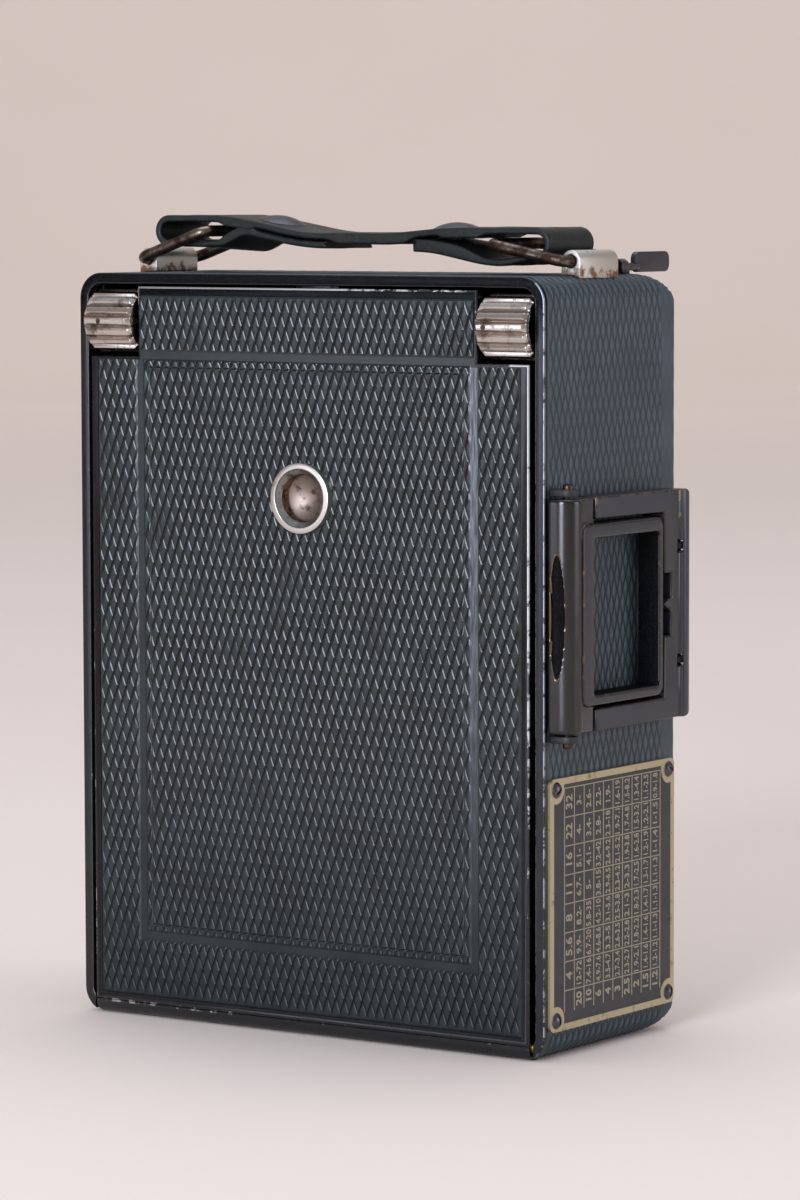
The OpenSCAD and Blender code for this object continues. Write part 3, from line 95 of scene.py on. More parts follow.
lens = bpy.data.cameras.new("viewing_camera")
lens.sensor_width = SENSOR_MM
lens.lens = SENSOR_MM * FOCAL_PX / PICTURE_HEIGHT_PX
lens.clip_start, lens.clip_end = 0.01, 30
viewer = shown("viewing_camera", lens)
turn = Matrix((right, upward, -forward)).transposed().to_4x4()
viewer.matrix_world = Matrix.Translation(VIEW_FROM * MM) @ turn
bpy.context.scene.camera = viewer
print("focal length", round(lens.lens, 1), "mm")

# %% [markdown]
# ## Small helpers
# A colour is easiest to pick as the hex value seen on a screen, but shaders want linear light, so one function turns
# one into the other. A second one adds a node to any tree, sets it and links it, and the short ones after it save
# writing where the same nodes come back. The last ones make arcs and join rings of points, since much of this camera
# is turned.

# %% Helpers for colours, nodes and rings
def linear(hex_colour):
    """Linear RGBA of an sRGB hex value such as "#1c2422"."""
    parts = [int(hex_colour[i:i + 2], 16) / 255 for i in (1, 3, 5)]
    return tuple(p / 12.92 if p <= 0.04045 else ((p + 0.055) / 1.055) ** 2.4 for p in parts) + (1.0,)


def pick(sockets, key):
    """The socket with that identifier, or else that name."""
    found = [s for s in sockets if s.identifier == key] or [s for s in sockets if s.name == key]
    return found[0]


def add(tree, kind, settings=None, **inputs):
    """Adds a node. An input is a value, a node (its first output) or a pair of a node and an output's name."""
    node = tree.nodes.new(kind)
    for name, value in (settings or {}).items():
        setattr(node, name, value)
    for key, value in inputs.items():
        target = pick(node.inputs, key)
        if isinstance(value, bpy.types.Node):
            tree.links.new(value.outputs[0], target)
        elif isinstance(value, tuple) and isinstance(value[0], bpy.types.Node):
            tree.links.new(pick(value[0].outputs, value[1]), target)
        else:
            target.default_value = value
    return node


def per(size_mm):
    """Texture scale at which a pattern on Object coordinates repeats about once in that many millimetres."""
    return 1 / (size_mm * MM)


def new_material(name):
    material = bpy.data.materials.new(name)
    material.use_nodes = True
    material.node_tree.nodes.clear()
    return material, material.node_tree


def calc(tree, operation, *values):
    """A math node with its values in order."""
    named = dict(zip(("Value", "Value_001", "Value_002"), values))
    return add(tree, "ShaderNodeMath", {"operation": operation}, **named)


def mapped(tree, value, low, high, to_low=0.0, to_high=1.0):
    """Takes a value from one range to another and holds it inside."""
    return add(tree, "ShaderNodeMapRange", Value=value, **{
        "From Min": low, "From Max": high, "To Min": to_low, "To Max": to_high})


def noise(tree, coords, size_mm, detail, rough=0.5):
    """Noise whose patches are about that size."""
    node = add(tree, "ShaderNodeTexNoise", Vector=(coords, "Object"), Scale=per(size_mm), Detail=detail,
               Roughness=rough)
    return node, "Fac"


def tint(tree, share, first, second):
    """A colour between two, each given as a hex value or as a node and its output."""
    first, second = (linear(c) if isinstance(c, str) else c for c in (first, second))
    node = add(tree, "ShaderNodeMix", {"data_type": "RGBA"}, Factor_Float=share, A_Color=first, B_Color=second)
    return node, "Result_Color"


def read(tree, attribute):
    """A number that the mesh carries for each point."""
    return add(tree, "ShaderNodeAttribute", {"attribute_name": attribute}), "Fac"


def surface(tree, **inputs):
    """Ends a material's tree with its shader and output."""
    shader = add(tree, "ShaderNodeBsdfPrincipled", **inputs)
    add(tree, "ShaderNodeOutputMaterial", Surface=shader)
    return shader


def arc(middle, r, start, end, count):
    """Points along an arc between two angles in degrees, both ends among them."""
    turns = [math.radians(start + (end - start) * k / count) for k in range(count + 1)]
    return [(middle[0] + r * math.cos(t), middle[1] + r * math.sin(t)) for t in turns]


def circle(count):
    """Points of a circle of radius one."""
    return arc((0, 0), 1, 0, 360, count)[:-1]


def walls(rings, wide, ends="open"):
    """Faces between neighbouring rings of points. The ends are open, capped or joined to each other."""
    faces = []
    for i in range(rings if ends == "joined" else rings - 1):
        here, there = i * wide, (i + 1) % rings * wide
        for k in range(wide):
            n = (k + 1) % wide
            faces.append((here + k, here + n, there + n, there + k))
    if ends == "capped":
        faces += [tuple(range(start, start + wide)) for start in (0, (rings - 1) * wide)]
    return faces


print("helpers ready")

# %% [markdown]
# ## Floor and light
# A pale floor that bends up into a round wall leaves no horizon behind the object. The light is soft: one box in
# front, tall and narrow as a window, is what the shoulders of the leather's diamonds mirror towards the viewer, one on
# the right brings up the side, one above keeps the floor pale, one lights the foot of the wall, and a low card at the
# left gives the flat leather its sheen near the top. The room itself stays dim, so that black enamel stays black. The
# colours are shown as they are, without a film curve.

# %% Make the floor and the lights
bpy.context.scene.view_settings.view_transform = "Standard"


def pale_floor():
    material, tree = new_material("matt_pale_floor")
    coords = add(tree, "ShaderNodeTexCoord")
    tone = tint(tree, noise(tree, coords, 260, 2.0), "#e0d1c7", "#e6d8ce")
    surface(tree, **{"Base Color": tone, "Roughness": 0.8})
    return material


FLOOR_FLAT, COVE_R, WALL_TOP = 2.4, 1.2, 3.0
COVE_STEPS, ROUND_STEPS = 14, 72
profile = arc((FLOOR_FLAT, COVE_R), COVE_R, -90, 0, COVE_STEPS) + [(FLOOR_FLAT + COVE_R, WALL_TOP)]
floor_points = [(0, 0, 0)] + [(r * c, r * s, z) for r, z in profile for c, s in circle(ROUND_STEPS)]
floor_faces = [(0, 1 + k, 1 + (k + 1) % ROUND_STEPS) for k in range(ROUND_STEPS)]
floor_faces += [(1 + a, 1 + d, 1 + c, 1 + b) for a, b, c, d in walls(len(profile), ROUND_STEPS)]
floor_mesh = bpy.data.meshes.new("floor")
floor_mesh.from_pydata(floor_points, [], floor_faces)
floor_mesh.materials.append(pale_floor())
floor_mesh.shade_smooth()
floor = shown("floor", floor_mesh)

OBJECT_MIDDLE, WALL_FOOT = (0, 0, 60), (-2000, 2900, 0)
SOFT_BOXES = [
    ("front_box", (260, -1230, 330), OBJECT_MIDDLE, (420, 860), 20.0, "#e4eeff"),
    ("right_box", (1250, 420, 330), OBJECT_MIDDLE, (700, 700), 5.0, "#e8f0ff"),
    ("top_box", (-150, 250, 1700), OBJECT_MIDDLE, (1300, 1300), 14.0, "#f4f7ff"),
    ("wall_box", (-1300, 1900, 1500), WALL_FOOT, (1400, 1400), 9.0, "#f6f3f4"),
    ("low_card", (-560, -1095, 170), OBJECT_MIDDLE, (330, 330), 1.3, "#e4ecff"),
]
for name, place, aim, (wide, high), power, colour in SOFT_BOXES:
    lamp = bpy.data.lights.new(name, "AREA")
    lamp.shape = "RECTANGLE"
    lamp.size = wide * MM
    lamp.size_y = high * MM
    lamp.energy = power
    lamp.color = linear(colour)[:3]
    box = shown(name, lamp)
    box.location = Vector(place) * MM
    box.rotation_mode = "QUATERNION"
    box.rotation_quaternion = (Vector(aim) * MM - box.location).to_track_quat("-Z", "Y")

room = bpy.data.worlds.new("studio_room")
room.use_nodes = True
room.node_tree.nodes["Background"].inputs["Color"].default_value = linear("#d9e2ee")
room.node_tree.nodes["Background"].inputs["Strength"].default_value = 0.7
bpy.context.scene.world = room
print("soft boxes:", len(SOFT_BOXES))

# %% [markdown]
# ## Leather
# The covering is thin goatskin, dyed a green black, pressed between rollers into long diamonds and then waxed. Wax
# makes it shine softly, handling polishes the shoulders of the diamonds and dust stays in the grooves. The relief
# itself is in the mesh, so the material reads how high a point lies and adds the fine grain of the hide. It also paints
# a lighter sheen onto the bed's right band, and paints shade towards the foot by turning the reflection down.

# %% Leather materials
def pressed_leather(name, pad, worn, groove, shine, foot_shade):
    """Roller-pressed goatskin. shine is the roughness of its waxed pads near the top; lower down it is duller.

    The wax lies on the pads and shoulders. The grooves hold dirt and hardly shine. Below 45 mm the reflection is turned
    down, at the foot to the share given last: painted shade.
    """
    material, tree = new_material(name)
    coords = add(tree, "ShaderNodeTexCoord")
    place = add(tree, "ShaderNodeSeparateXYZ", Vector=(coords, "Object"))
    relief, painted_sheen = read(tree, "relief"), read(tree, "painted_sheen")
    grain = noise(tree, coords, 0.25, 3.0, 0.6)
    cloud = noise(tree, coords, 9, 4.0, 0.6)
    dyed = tint(tree, mapped(tree, cloud, 0.4, 0.7), pad, worn)
    drawn = add(tree, "ShaderNodeMapping", Vector=(coords, "Object"), Scale=(1.0, 1.0, 0.08))
    streaks = add(tree, "ShaderNodeTexNoise", Vector=drawn, Scale=per(0.3), Detail=3.0)
    streaked_sheen = mapped(tree, (streaks, "Fac"), 0.38, 0.62, 0.15, 1.0)
    # Painted sheen: the bed's right band is painted a lighter grey in vertical streaks.
    hide = tint(tree, calc(tree, "MULTIPLY", painted_sheen, streaked_sheen), dyed, "#787e86")
    tone = tint(tree, relief, groove, hide)
    lower = mapped(tree, (place, "Z"), 60 * MM, 0.0, shine, shine + 0.2)
    gloss = calc(tree, "MULTIPLY_ADD", cloud, 0.1, lower)
    waxed = mapped(tree, relief, 0.0, 0.4, 0.13, 0.66)
    # Painted shade: lower down the leather's reflection is turned down.
    thin = mapped(tree, (place, "Z"), 45 * MM, 0.0, 1.0, foot_shade)
    bump = add(tree, "ShaderNodeBump", Strength=0.4, Distance=0.03 * MM, Height=grain)
    surface(tree, **{"Base Color": tone, "Roughness": gloss, "Normal": bump, "IOR": 1.43,
                     "Specular IOR Level": calc(tree, "MULTIPLY", waxed, thin)})
    return material


# The bed's leather keeps only 0.55 of its reflection at the foot: painted shade.
bed_hide = pressed_leather("pressed_goatskin_polished", "#0f1a1b", "#1c2829", "#030607", 0.2, 0.55)
body_hide = pressed_leather("pressed_goatskin_dull", "#33424a", "#415058", "#131b1f", 0.4, 1.0)
print("leather:", bed_hide.name, body_hide.name)

# %% [markdown]
# ## Enamel
# The metal is stoved with black enamel. It is hard and glossy, with fine hair scratches, and where hands and the
# leather case have rubbed the edges it is worn through to what lies under it: pale metal on the body, brass on the
# finder and the hinge. The worn finish goes only on the faces that round an edge.

# %% Enamel materials
def stoved_enamel(name, colour, shine, painted_shade_from=None):
    """Baked black enamel with dust and hair scratches in its gloss.

    Above the height given last, in millimetres, the enamel's reflection is turned down almost to nothing: painted shade
    that keeps it dark.
    """
    material, tree = new_material(name)
    coords = add(tree, "ShaderNodeTexCoord")
    fine = noise(tree, coords, 0.35, 2.0)
    gloss = mapped(tree, noise(tree, coords, 6, 4.0, 0.6), 0.3, 0.7, shine, shine + 0.16)
    tone = tint(tree, mapped(tree, fine, 0.5, 0.8, 0.0, 0.08), colour, "#5c6066")
    bump = add(tree, "ShaderNodeBump", Strength=0.12, Distance=0.02 * MM, Height=fine)
    shader = surface(tree, **{"Base Color": tone, "Roughness": gloss, "Normal": bump, "IOR": 1.52})
    if painted_shade_from:
        place = add(tree, "ShaderNodeSeparateXYZ", Vector=(coords, "Object"))
        # Painted shade: above that height the enamel hardly reflects.
        painted_shade = mapped(tree, (place, "Z"), (painted_shade_from - 6) * MM, painted_shade_from * MM, 0.46, 0.07)
        tree.links.new(painted_shade.outputs[0], shader.inputs["Specular IOR Level"])
    return material


def rubbed_edge(name, enamel, metal, patch_mm, bare_shine=0.38):
    """Enamel worn off in patches, more of it where the mesh's attribute for wear and painted highlight is high."""
    material, tree = new_material(name)
    coords = add(tree, "ShaderNodeTexCoord")
    patch = noise(tree, coords, patch_mm, 5.0, 0.7)
    bare = mapped(tree, calc(tree, "MULTIPLY_ADD", read(tree, "wear_and_highlight"), 0.45, patch), 0.76, 0.83)
    gloss = mapped(tree, bare, 0.0, 1.0, 0.25, bare_shine)
    surface(tree, **{"Base Color": tint(tree, bare, enamel, metal), "Metallic": bare, "Roughness": gloss})
    return material


ENAMEL_BLACK = "#07080b"
# The body's enamel hardly reflects above 114 mm: painted shade on the tops of the rim and the bed.
body_enamel = stoved_enamel("stoved_black_enamel", ENAMEL_BLACK, 0.16, 114)
finder_enamel = stoved_enamel("stoved_black_enamel_on_brass", "#25252b", 0.28)
inner_enamel = stoved_enamel("matt_black_enamel", "#101012", 0.5)
nose_enamel = stoved_enamel("polished_black_enamel_on_brass", "#120f0e", 0.1)
# Near black, barely reflective enamel for the window's jamb and the finger scoop: painted shade.
painted_shade_enamel = stoved_enamel("painted_shade_black_enamel", "#060607", 0.6, 20)
rim_edge = rubbed_edge("enamel_rubbed_to_pale_metal", ENAMEL_BLACK, "#7f848c", 2.2)
lip_edge = rubbed_edge("enamel_rubbed_bright", ENAMEL_BLACK, "#b3b1ac", 2.6, 0.6)
finder_edge = rubbed_edge("enamel_rubbed_to_brass", "#1d1a19", "#6b5b4c", 2.4)
nose_edge = rubbed_edge("enamel_rubbed_to_copper", "#1d1a19", "#8d7358", 2.4)
print("enamel:", body_enamel.name, "and", rim_edge.name)

# %% [markdown]
# ## Plated and bare metals
# Nickel plate of this age is no mirror: it has a warm grey haze, tiny pits and brown tarnish where fingers don't
# reach. The brass under it shows yellow brown, and the wire loops have gone nearly as brown as rust.

# %% Metal materials
def aged_metal(name, bright, tarnish, shine, share, patch_mm, foot=None):
    """Plate or bare metal with a haze, tarnish in patches and fine pits.

    foot gives two heights in millimetres: below the first tarnish is thick, above the second it is as elsewhere.
    """
    material, tree = new_material(name)
    coords = add(tree, "ShaderNodeTexCoord")
    haze = noise(tree, coords, patch_mm, 5.0, 0.65)
    if foot:
        place = add(tree, "ShaderNodeSeparateXYZ", Vector=(coords, "Object"))
        haze = calc(tree, "ADD", haze, mapped(tree, (place, "Z"), foot[0] * MM, foot[1] * MM, 0.24, 0.0))
    dulled = mapped(tree, haze, 0.66 - 0.35 * share, 0.82 - 0.35 * share)
    tone = tint(tree, dulled, bright, tarnish)
    gloss = mapped(tree, dulled, 0.0, 1.0, shine, shine + 0.22)
    pits = noise(tree, coords, 0.18, 2.0)
    bump = add(tree, "ShaderNodeBump", Strength=0.15, Distance=0.02 * MM, Height=pits)
    surface(tree, **{"Base Color": tone, "Metallic": 1.0, "Roughness": gloss, "Normal": bump})
    return material


knob_nickel = aged_metal("dull_nickel_plate", "#c6beb7", "#64574d", 0.22, 0.35, 3)
bush_nickel = aged_metal("bright_nickel_plate", "#c9c5bd", "#8d6f58", 0.32, 0.25, 4)
lug_nickel = aged_metal("satin_nickel_plate", "#c9c4bb", "#80604f", 0.42, 0.12, 1.6, (118.2, 119.8))
wire_metal = aged_metal("brown_tarnished_wire", "#776a5f", "#3d2c26", 0.3, 0.75, 3)
aged_brass = aged_metal("aged_brass", "#b3924f", "#5d4526", 0.3, 0.35, 3)
cup_brass = aged_metal("brown_brass_cup", "#6f5647", "#2f211a", 0.36, 0.5, 2)
pin_brass = aged_metal("dark_pin_brass", "#4a3d33", "#221c18", 0.35, 0.5, 1.5)
spring_steel = aged_metal("bright_spring_steel", "#a9adb1", "#6f6d69", 0.28, 0.2, 6)
mouth_nickel = aged_metal("worn_bush_mouth", "#84827b", "#45423d", 0.3, 0.45, 1.2)
bowl_metal = aged_metal("brown_worn_bush_bowl", "#8f8076", "#54423a", 0.48, 0.45, 1.6)
dark_screw = aged_metal("blackened_screw_steel", "#5b575c", "#2a2526", 0.3, 0.4, 1.5)
print("metals:", knob_nickel.name, "and", aged_brass.name)

# %% [markdown]
# ## Making a piece
# A finished piece is a plain mesh at the origin. These functions make one from points in millimetres, turn a node
# tree's result into a plain mesh, and hand the piece to the body that carries it.

# %% Helpers for pieces
def new_piece(name, points_mm, faces):
    mesh = bpy.data.meshes.new(name)
    mesh.from_pydata([tuple(c * MM for c in p) for p in points_mm], [], faces)
    mesh.validate()
    return shown(name, mesh)


def plain(piece):
    """Bakes the piece's modifiers into its mesh and removes them."""
    seen = bpy.context.evaluated_depsgraph_get()
    made = bpy.data.meshes.new_from_object(piece.evaluated_get(seen), preserve_all_data_layers=True, depsgraph=seen)
    piece.modifiers.clear()
    piece.data = made
    made.name = piece.name
    return piece


@contextmanager
def reshaped(mesh, source=None):
    """Opens a mesh for editing, or a copy of another one, and writes the result into it."""
    work = bmesh.new()
    work.from_mesh(source or mesh)
    yield work
    work.to_mesh(mesh)
    work.free()


def mark(mesh, name, values, kind="FLOAT"):
    """Keeps a value for each point of the mesh."""
    layer = mesh.attributes.new(name, kind, "POINT")
    layer.data.foreach_set("value" if kind == "FLOAT" else "vector", np.ravel(values).astype(np.float32))


def turn_outward(piece):
    """Merges doubled points and turns every face outwards."""
    with reshaped(piece.data) as work:
        bmesh.ops.remove_doubles(work, verts=work.verts, dist=0.001 * MM)
        bmesh.ops.recalc_face_normals(work, faces=work.faces)


def smooth(piece, angle):
    piece.data.shade_smooth()
    piece.data.set_sharp_from_angle(angle=math.radians(angle))
    return piece


def coat(piece, finishes, angle=None):
    """Gives the piece one finish or each face its own, turns it outwards and smooths what is blunter than the angle."""
    if not isinstance(finishes, list):
        finishes = [finishes] * len(piece.data.polygons)
    kinds = list(dict.fromkeys(finishes))
    for finish in kinds:
        piece.data.materials.append(finish)
    piece.data.polygons.foreach_set("material_index", [kinds.index(finish) for finish in finishes])
    turn_outward(piece)
    return smooth(piece, angle) if angle else piece


def settle(piece, body, slot, *nodes):
    """The piece rides on a body and stands for these solids, which are hidden; the slot is not used."""
    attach(piece, body)
    if nodes:
        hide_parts(*nodes)
    return piece


BODY_OF = {node: body for body, nodes in frame["record"]["behaviour"]["bodies"].items() for node in nodes}
SLOT_OF = {s["node"]: s["material_slot"] for s in frame["record"]["subparts"]}


def even_wear(x, y, z):
    return 0.45


def softened(node, edge_mm, finish, edge_finish=None, wear_and_highlight=even_wear, angle=40, segments=2, only=None):
    """A copy of a solid with its sharp edges rounded off in a finish of their own.

    Where a test is given, only edges that pass it are rounded, at full width.
    """
    mesh = bpy.data.meshes.new(node)
    with reshaped(mesh, frame["nodes"][node].data) as work:
        bmesh.ops.remove_doubles(work, verts=work.verts, dist=0.002 * MM)
        bmesh.ops.dissolve_limit(work, angle_limit=math.radians(0.5), verts=work.verts, edges=work.edges)
        if only:
            weight = work.edges.layers.float.new("bevel_weight_edge")
            for edge in work.edges:
                sharp = edge.calc_face_angle(0.0) > math.radians(angle)
                chosen = sharp and all(only(*(c / MM for c in v.co)) for v in edge.verts)
                edge[weight] = 1.0 if chosen else 0.0
    mesh.materials.clear()
    mesh.materials.append(finish)
    mesh.materials.append(edge_finish or finish)
    mesh.polygons.foreach_set("material_index", [0] * len(mesh.polygons))
    piece = shown(node + "_finished", mesh)
    bevel = piece.modifiers.new("rounded edges", "BEVEL")
    bevel.width = edge_mm * MM
    bevel.segments = segments
    bevel.limit_method = "WEIGHT" if only else "ANGLE"
    bevel.angle_limit = math.radians(angle)
    bevel.material = 1
    bevel.use_clamp_overlap = only is None
    plain(piece)
    low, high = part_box(node)
    for v in piece.data.vertices:
        v.co = [min(max(c, a), b) for c, a, b in zip(v.co, low, high)]
    smooth(piece, 30)
    if edge_finish:
        mark(piece.data, "wear_and_highlight", [wear_and_highlight(*(c / MM for c in v.co)) for v in piece.data.vertices])
    return settle(piece, BODY_OF[node], SLOT_OF[node], node)


def paint(piece, finish, test):
    """Gives a finish to the faces whose corners, in millimetres, all pass the test."""
    piece.data.materials.append(finish)
    index = len(piece.data.materials) - 1
    passed = [test(*(c / MM for c in v.co)) for v in piece.data.vertices]
    for face in piece.data.polygons:
        if all(passed[v] for v in face.vertices):
            face.material_index = index


print("pieces ride on", len(BODY_OF), "nodes' bodies")

# %% [markdown]
# ## The pressed diamonds
# The relief follows a rule, so a Geometry Nodes tree makes it. Each point of a panel knows where it lies on the flat
# hide, in millimetres. Two slanted coordinates cut the hide into diamonds, the distance to the nearest cut gives the
# height of a pad with a shoulder on each side, and the point moves inwards by what is missing. The roller has pressed
# the bed's shoulders unevenly: steep at the lower right, gentle at the upper left. The panel keeps the height as an
# attribute for the leather's material. Panels are grids whose diagonals run along the cuts, so all grooves are clean.

# %% Build the embossing tree
DIAMOND_W, DIAMOND_H = 1.65, 4.4
HEM_MM = 0.45
FACET_ANGLE = 7
PLAIN_HEIGHT, PRESS_LIGHT, PRESS_FIRM = 0.75, 0.65, 1.2
SHOULDERS = ("Lower Left", "Upper Right", "Upper Left", "Lower Right")


def embossing_tree(hide):
    tree = bpy.data.node_groups.new("press diamonds", "GeometryNodeTree")
    sockets = {}
    tree.interface.new_socket("Geometry", in_out="INPUT", socket_type="NodeSocketGeometry")
    for name in ("Diamond Width", "Diamond Height", "Groove Depth", *SHOULDERS):
        sockets[name] = tree.interface.new_socket(name, in_out="INPUT", socket_type="NodeSocketFloat").identifier
    tree.interface.new_socket("Geometry", in_out="OUTPUT", socket_type="NodeSocketGeometry")
    given = add(tree, "NodeGroupInput")
    flat = add(tree, "GeometryNodeInputNamedAttribute", {"data_type": "FLOAT_VECTOR"}, Name="flat_mm")
    press = add(tree, "GeometryNodeInputNamedAttribute", {"data_type": "FLOAT"}, Name="press_mm")
    parts = add(tree, "ShaderNodeSeparateXYZ", Vector=flat)
    across = calc(tree, "DIVIDE", (parts, "X"), (given, "Diamond Width"))
    along = calc(tree, "DIVIDE", (parts, "Y"), (given, "Diamond Height"))
    slants = (calc(tree, "ADD", across, along), calc(tree, "SUBTRACT", across, along))
    rises = []
    for slanted, first, second in zip(slants, SHOULDERS[::2], SHOULDERS[1::2]):
        part = calc(tree, "FRACT", slanted)
        rises.append(mapped(tree, part, 0.0, (given, first)))
        rises.append(mapped(tree, calc(tree, "SUBTRACT", 1.0, part), 0.0, (given, second)))
    pad = rises[0]
    for other in rises[1:]:
        pad = calc(tree, "MINIMUM", pad, other)
    height = add(tree, "ShaderNodeMix", {"data_type": "FLOAT"}, Factor_Float=(parts, "Z"), A_Float=PLAIN_HEIGHT,
                 B_Float=pad)
    missing = calc(tree, "SUBTRACT", 1.0, (height, "Result_Float"))
    cloud = add(tree, "ShaderNodeTexNoise", Vector=flat, Scale=0.12, Detail=2.0)
    uneven = mapped(tree, (cloud, "Fac"), 0.3, 0.7, PRESS_LIGHT, PRESS_FIRM)
    depth = calc(tree, "MULTIPLY", (given, "Groove Depth"), uneven)
    inward = calc(tree, "MULTIPLY", calc(tree, "MULTIPLY_ADD", missing, depth, press), -MM)
    normal = add(tree, "GeometryNodeInputNamedAttribute", {"data_type": "FLOAT_VECTOR"}, Name="outward")
    offset = add(tree, "ShaderNodeVectorMath", {"operation": "SCALE"}, Vector=normal, Scale=inward)
    moved = add(tree, "GeometryNodeSetPosition", Geometry=(given, "Geometry"), Offset=offset)
    kept = add(tree, "GeometryNodeStoreNamedAttribute", {"data_type": "FLOAT", "domain": "POINT"},
               Geometry=moved, Name="relief", Value=(height, "Result_Float"))
    real = add(tree, "GeometryNodeRealizeInstances", Geometry=kept)
    done = add(tree, "GeometryNodeSetMaterial", Geometry=real, Material=hide)
    add(tree, "NodeGroupOutput", Geometry=done)
    return tree, sockets


def hem(piece):
    """Joins the panel's own ends and turns its free edges inwards, as leather is pasted down."""
    with reshaped(piece.data) as work:
        bmesh.ops.remove_doubles(work, verts=work.verts, dist=0.004 * MM)
        work.normal_update()
        border = [e for e in work.edges if e.is_boundary]
        inward = {v: -v.normal for e in border for v in e.verts}
        made = bmesh.ops.extrude_edge_only(work, edges=border)["geom"]
        fresh = [v for v in made if isinstance(v, bmesh.types.BMVert)]
        nearest = {tuple(round(c / MM, 4) for c in v.co): n for v, n in inward.items()}
        for v in fresh:
            v.co += nearest[tuple(round(c / MM, 4) for c in v.co)] * HEM_MM * MM


def panel(name, columns, rows, place, wanted, hide, depth, shoulders):
    """A pressed panel. place gives position, outward direction, share of pattern, press depth and painted sheen of (u,
    v).
    """
    points, outward, flat, press, painted_sheen = [], [], [], [], []
    for v in rows:
        for u in columns:
            position, normal, share, sunk, wear_and_highlight = place(u, v)
            points.append(position)
            outward.append(normal)
            flat.append((u, v, share))
            press.append(sunk)
            painted_sheen.append(wear_and_highlight)
    wide = len(columns)
    faces = []
    for j in range(len(rows) - 1):
        for i in range(wide - 1):
            u, v = (columns[i] + columns[i + 1]) / 2, (rows[j] + rows[j + 1]) / 2
            if not wanted(u, v):
                continue
            a, b, c, d = j * wide + i, j * wide + i + 1, (j + 1) * wide + i + 1, (j + 1) * wide + i
            rising = (u / DIAMOND_W + v / DIAMOND_H) % 1
            falling = (u / DIAMOND_W - v / DIAMOND_H) % 1
            if min(rising, 1 - rising) < min(falling, 1 - falling):
                faces += [(a, b, d), (b, c, d)]
            else:
                faces += [(a, b, c), (a, c, d)]
    piece = new_piece(name, points, faces)
    mark(piece.data, "flat_mm", flat, "FLOAT_VECTOR")
    mark(piece.data, "outward", outward, "FLOAT_VECTOR")
    mark(piece.data, "press_mm", press)
    mark(piece.data, "painted_sheen", painted_sheen)
    with reshaped(piece.data) as work:
        bmesh.ops.delete(work, geom=[p for p in work.verts if not p.link_faces], context="VERTS")
    tree, sockets = embossing_tree(hide)
    press_step = piece.modifiers.new("press diamonds", "NODES")
    press_step.node_group = tree
    press_step[sockets["Diamond Width"]] = DIAMOND_W
    press_step[sockets["Diamond Height"]] = DIAMOND_H
    press_step[sockets["Groove Depth"]] = depth
    for side, share in zip(SHOULDERS, shoulders):
        press_step[sockets[side]] = share
    plain(piece)
    for attribute in ("flat_mm", "outward", "press_mm"):
        piece.data.attributes.remove(piece.data.attributes[attribute])
    hem(piece)
    return smooth(piece, FACET_ANGLE)


def steps(low, high, step, extra=()):
    """Values from low to high on multiples of step, with both ends and some extra lines."""
    inner = [k * step for k in range(math.ceil(low / step), math.floor(high / step) + 1)]
    kept = sorted(set(round(x, 4) for x in [low, high, *extra]))
    room_each = step / 4
    return sorted(kept + [x for x in inner if all(abs(x - k) > room_each for k in kept)])


print("diamonds", DIAMOND_W, "x", DIAMOND_H, "mm")

# %% [markdown]
# ## The leather on the bed
# The bed is the front door. Its leather lies inside an enamelled lip, leaves room for the two knobs, and carries a
# pressed frame: a smooth sunken band with a thin line inside it. Near the band the grid gets extra lines, so that the
# band's edges are crisp.

# %% Bed leather
bed_low, bed_high = box_mm("bed_leather")
bush_low, bush_high = box_mm("tripod_bush")
knob_low, knob_high = box_mm("knob_right")
bush_z = (bush_low.z + bush_high.z) / 2
LIP_W = 1.3
KNOB_ROOM, NOTCH_LAP = 0.5, 0.8
BAND_X, BAND_LOW, BAND_HIGH = 30.7, 14.0, 104.4
BAND_W, BAND_DEPTH, BAND_SOFT = 1.5, 0.19, 0.18
LINE_IN, LINE_W, LINE_DEPTH = 1.1, 0.36, 0.12
BUSH_HIDDEN_R = 4.6
EDGE_PLAIN, EDGE_FULL, EDGE_TURN, EDGE_DROP = 0.1, 0.7, 0.35, 0.25
SHEEN_FROM, SHEEN_TO, SHEEN_SOFT = 20, 95, 0.6
BED_RELIEF, BED_SHOULDERS, BED_SPLIT = 0.13, (0.19, 0.16, 0.375, 0.19), 8
notch_x = knob_low.x - KNOB_ROOM - LIP_W + NOTCH_LAP
notch_z = knob_low.z - KNOB_ROOM - LIP_W + NOTCH_LAP
band_mid = (BAND_LOW + BAND_HIGH) / 2
band_half = (BAND_HIGH - BAND_LOW) / 2


def band_distance(x, z):
    """Distance outside the band's inner rectangle, negative inside it."""
    return max(abs(x) - BAND_X, abs(z - band_mid) - band_half)


def ramp(value, low, high):
    return min(1.0, max(0.0, (value - low) / (high - low)))


def bed_place(x, z):
    d = band_distance(x, z)
    band = min(ramp(d, -BAND_SOFT, BAND_SOFT), ramp(BAND_W - d, -BAND_SOFT, BAND_SOFT))
    line = max(0.0, 1 - abs(d + LINE_IN) / (LINE_W / 2))
    edge = min(bed_high.x - abs(x), z - bed_low.z, bed_high.z - z)
    share = (1 - band) * (1 - line) * ramp(edge, EDGE_PLAIN, EDGE_FULL)
    sunk = band * BAND_DEPTH + line * LINE_DEPTH + EDGE_DROP * (1 - ramp(edge, 0.0, EDGE_TURN))
    # Painted sheen on the right band, growing towards the top.
    painted_sheen = 0.0
    if BAND_LOW < z < BAND_HIGH:
        painted_sheen = band * ramp(x, BAND_X - SHEEN_SOFT, BAND_X) * ramp(z, SHEEN_FROM, SHEEN_TO)
    return (x, bed_low.y, z), (0, -1, 0), share, sunk, painted_sheen


def on_bed(x, z):
    in_notch = abs(x) > notch_x and z > notch_z
    in_bush = math.hypot(x, z - bush_z) < BUSH_HIDDEN_R
    return not (in_notch or in_bush)


def both_ways(values):
    return [s * v for v in values for s in (-1, 1)]


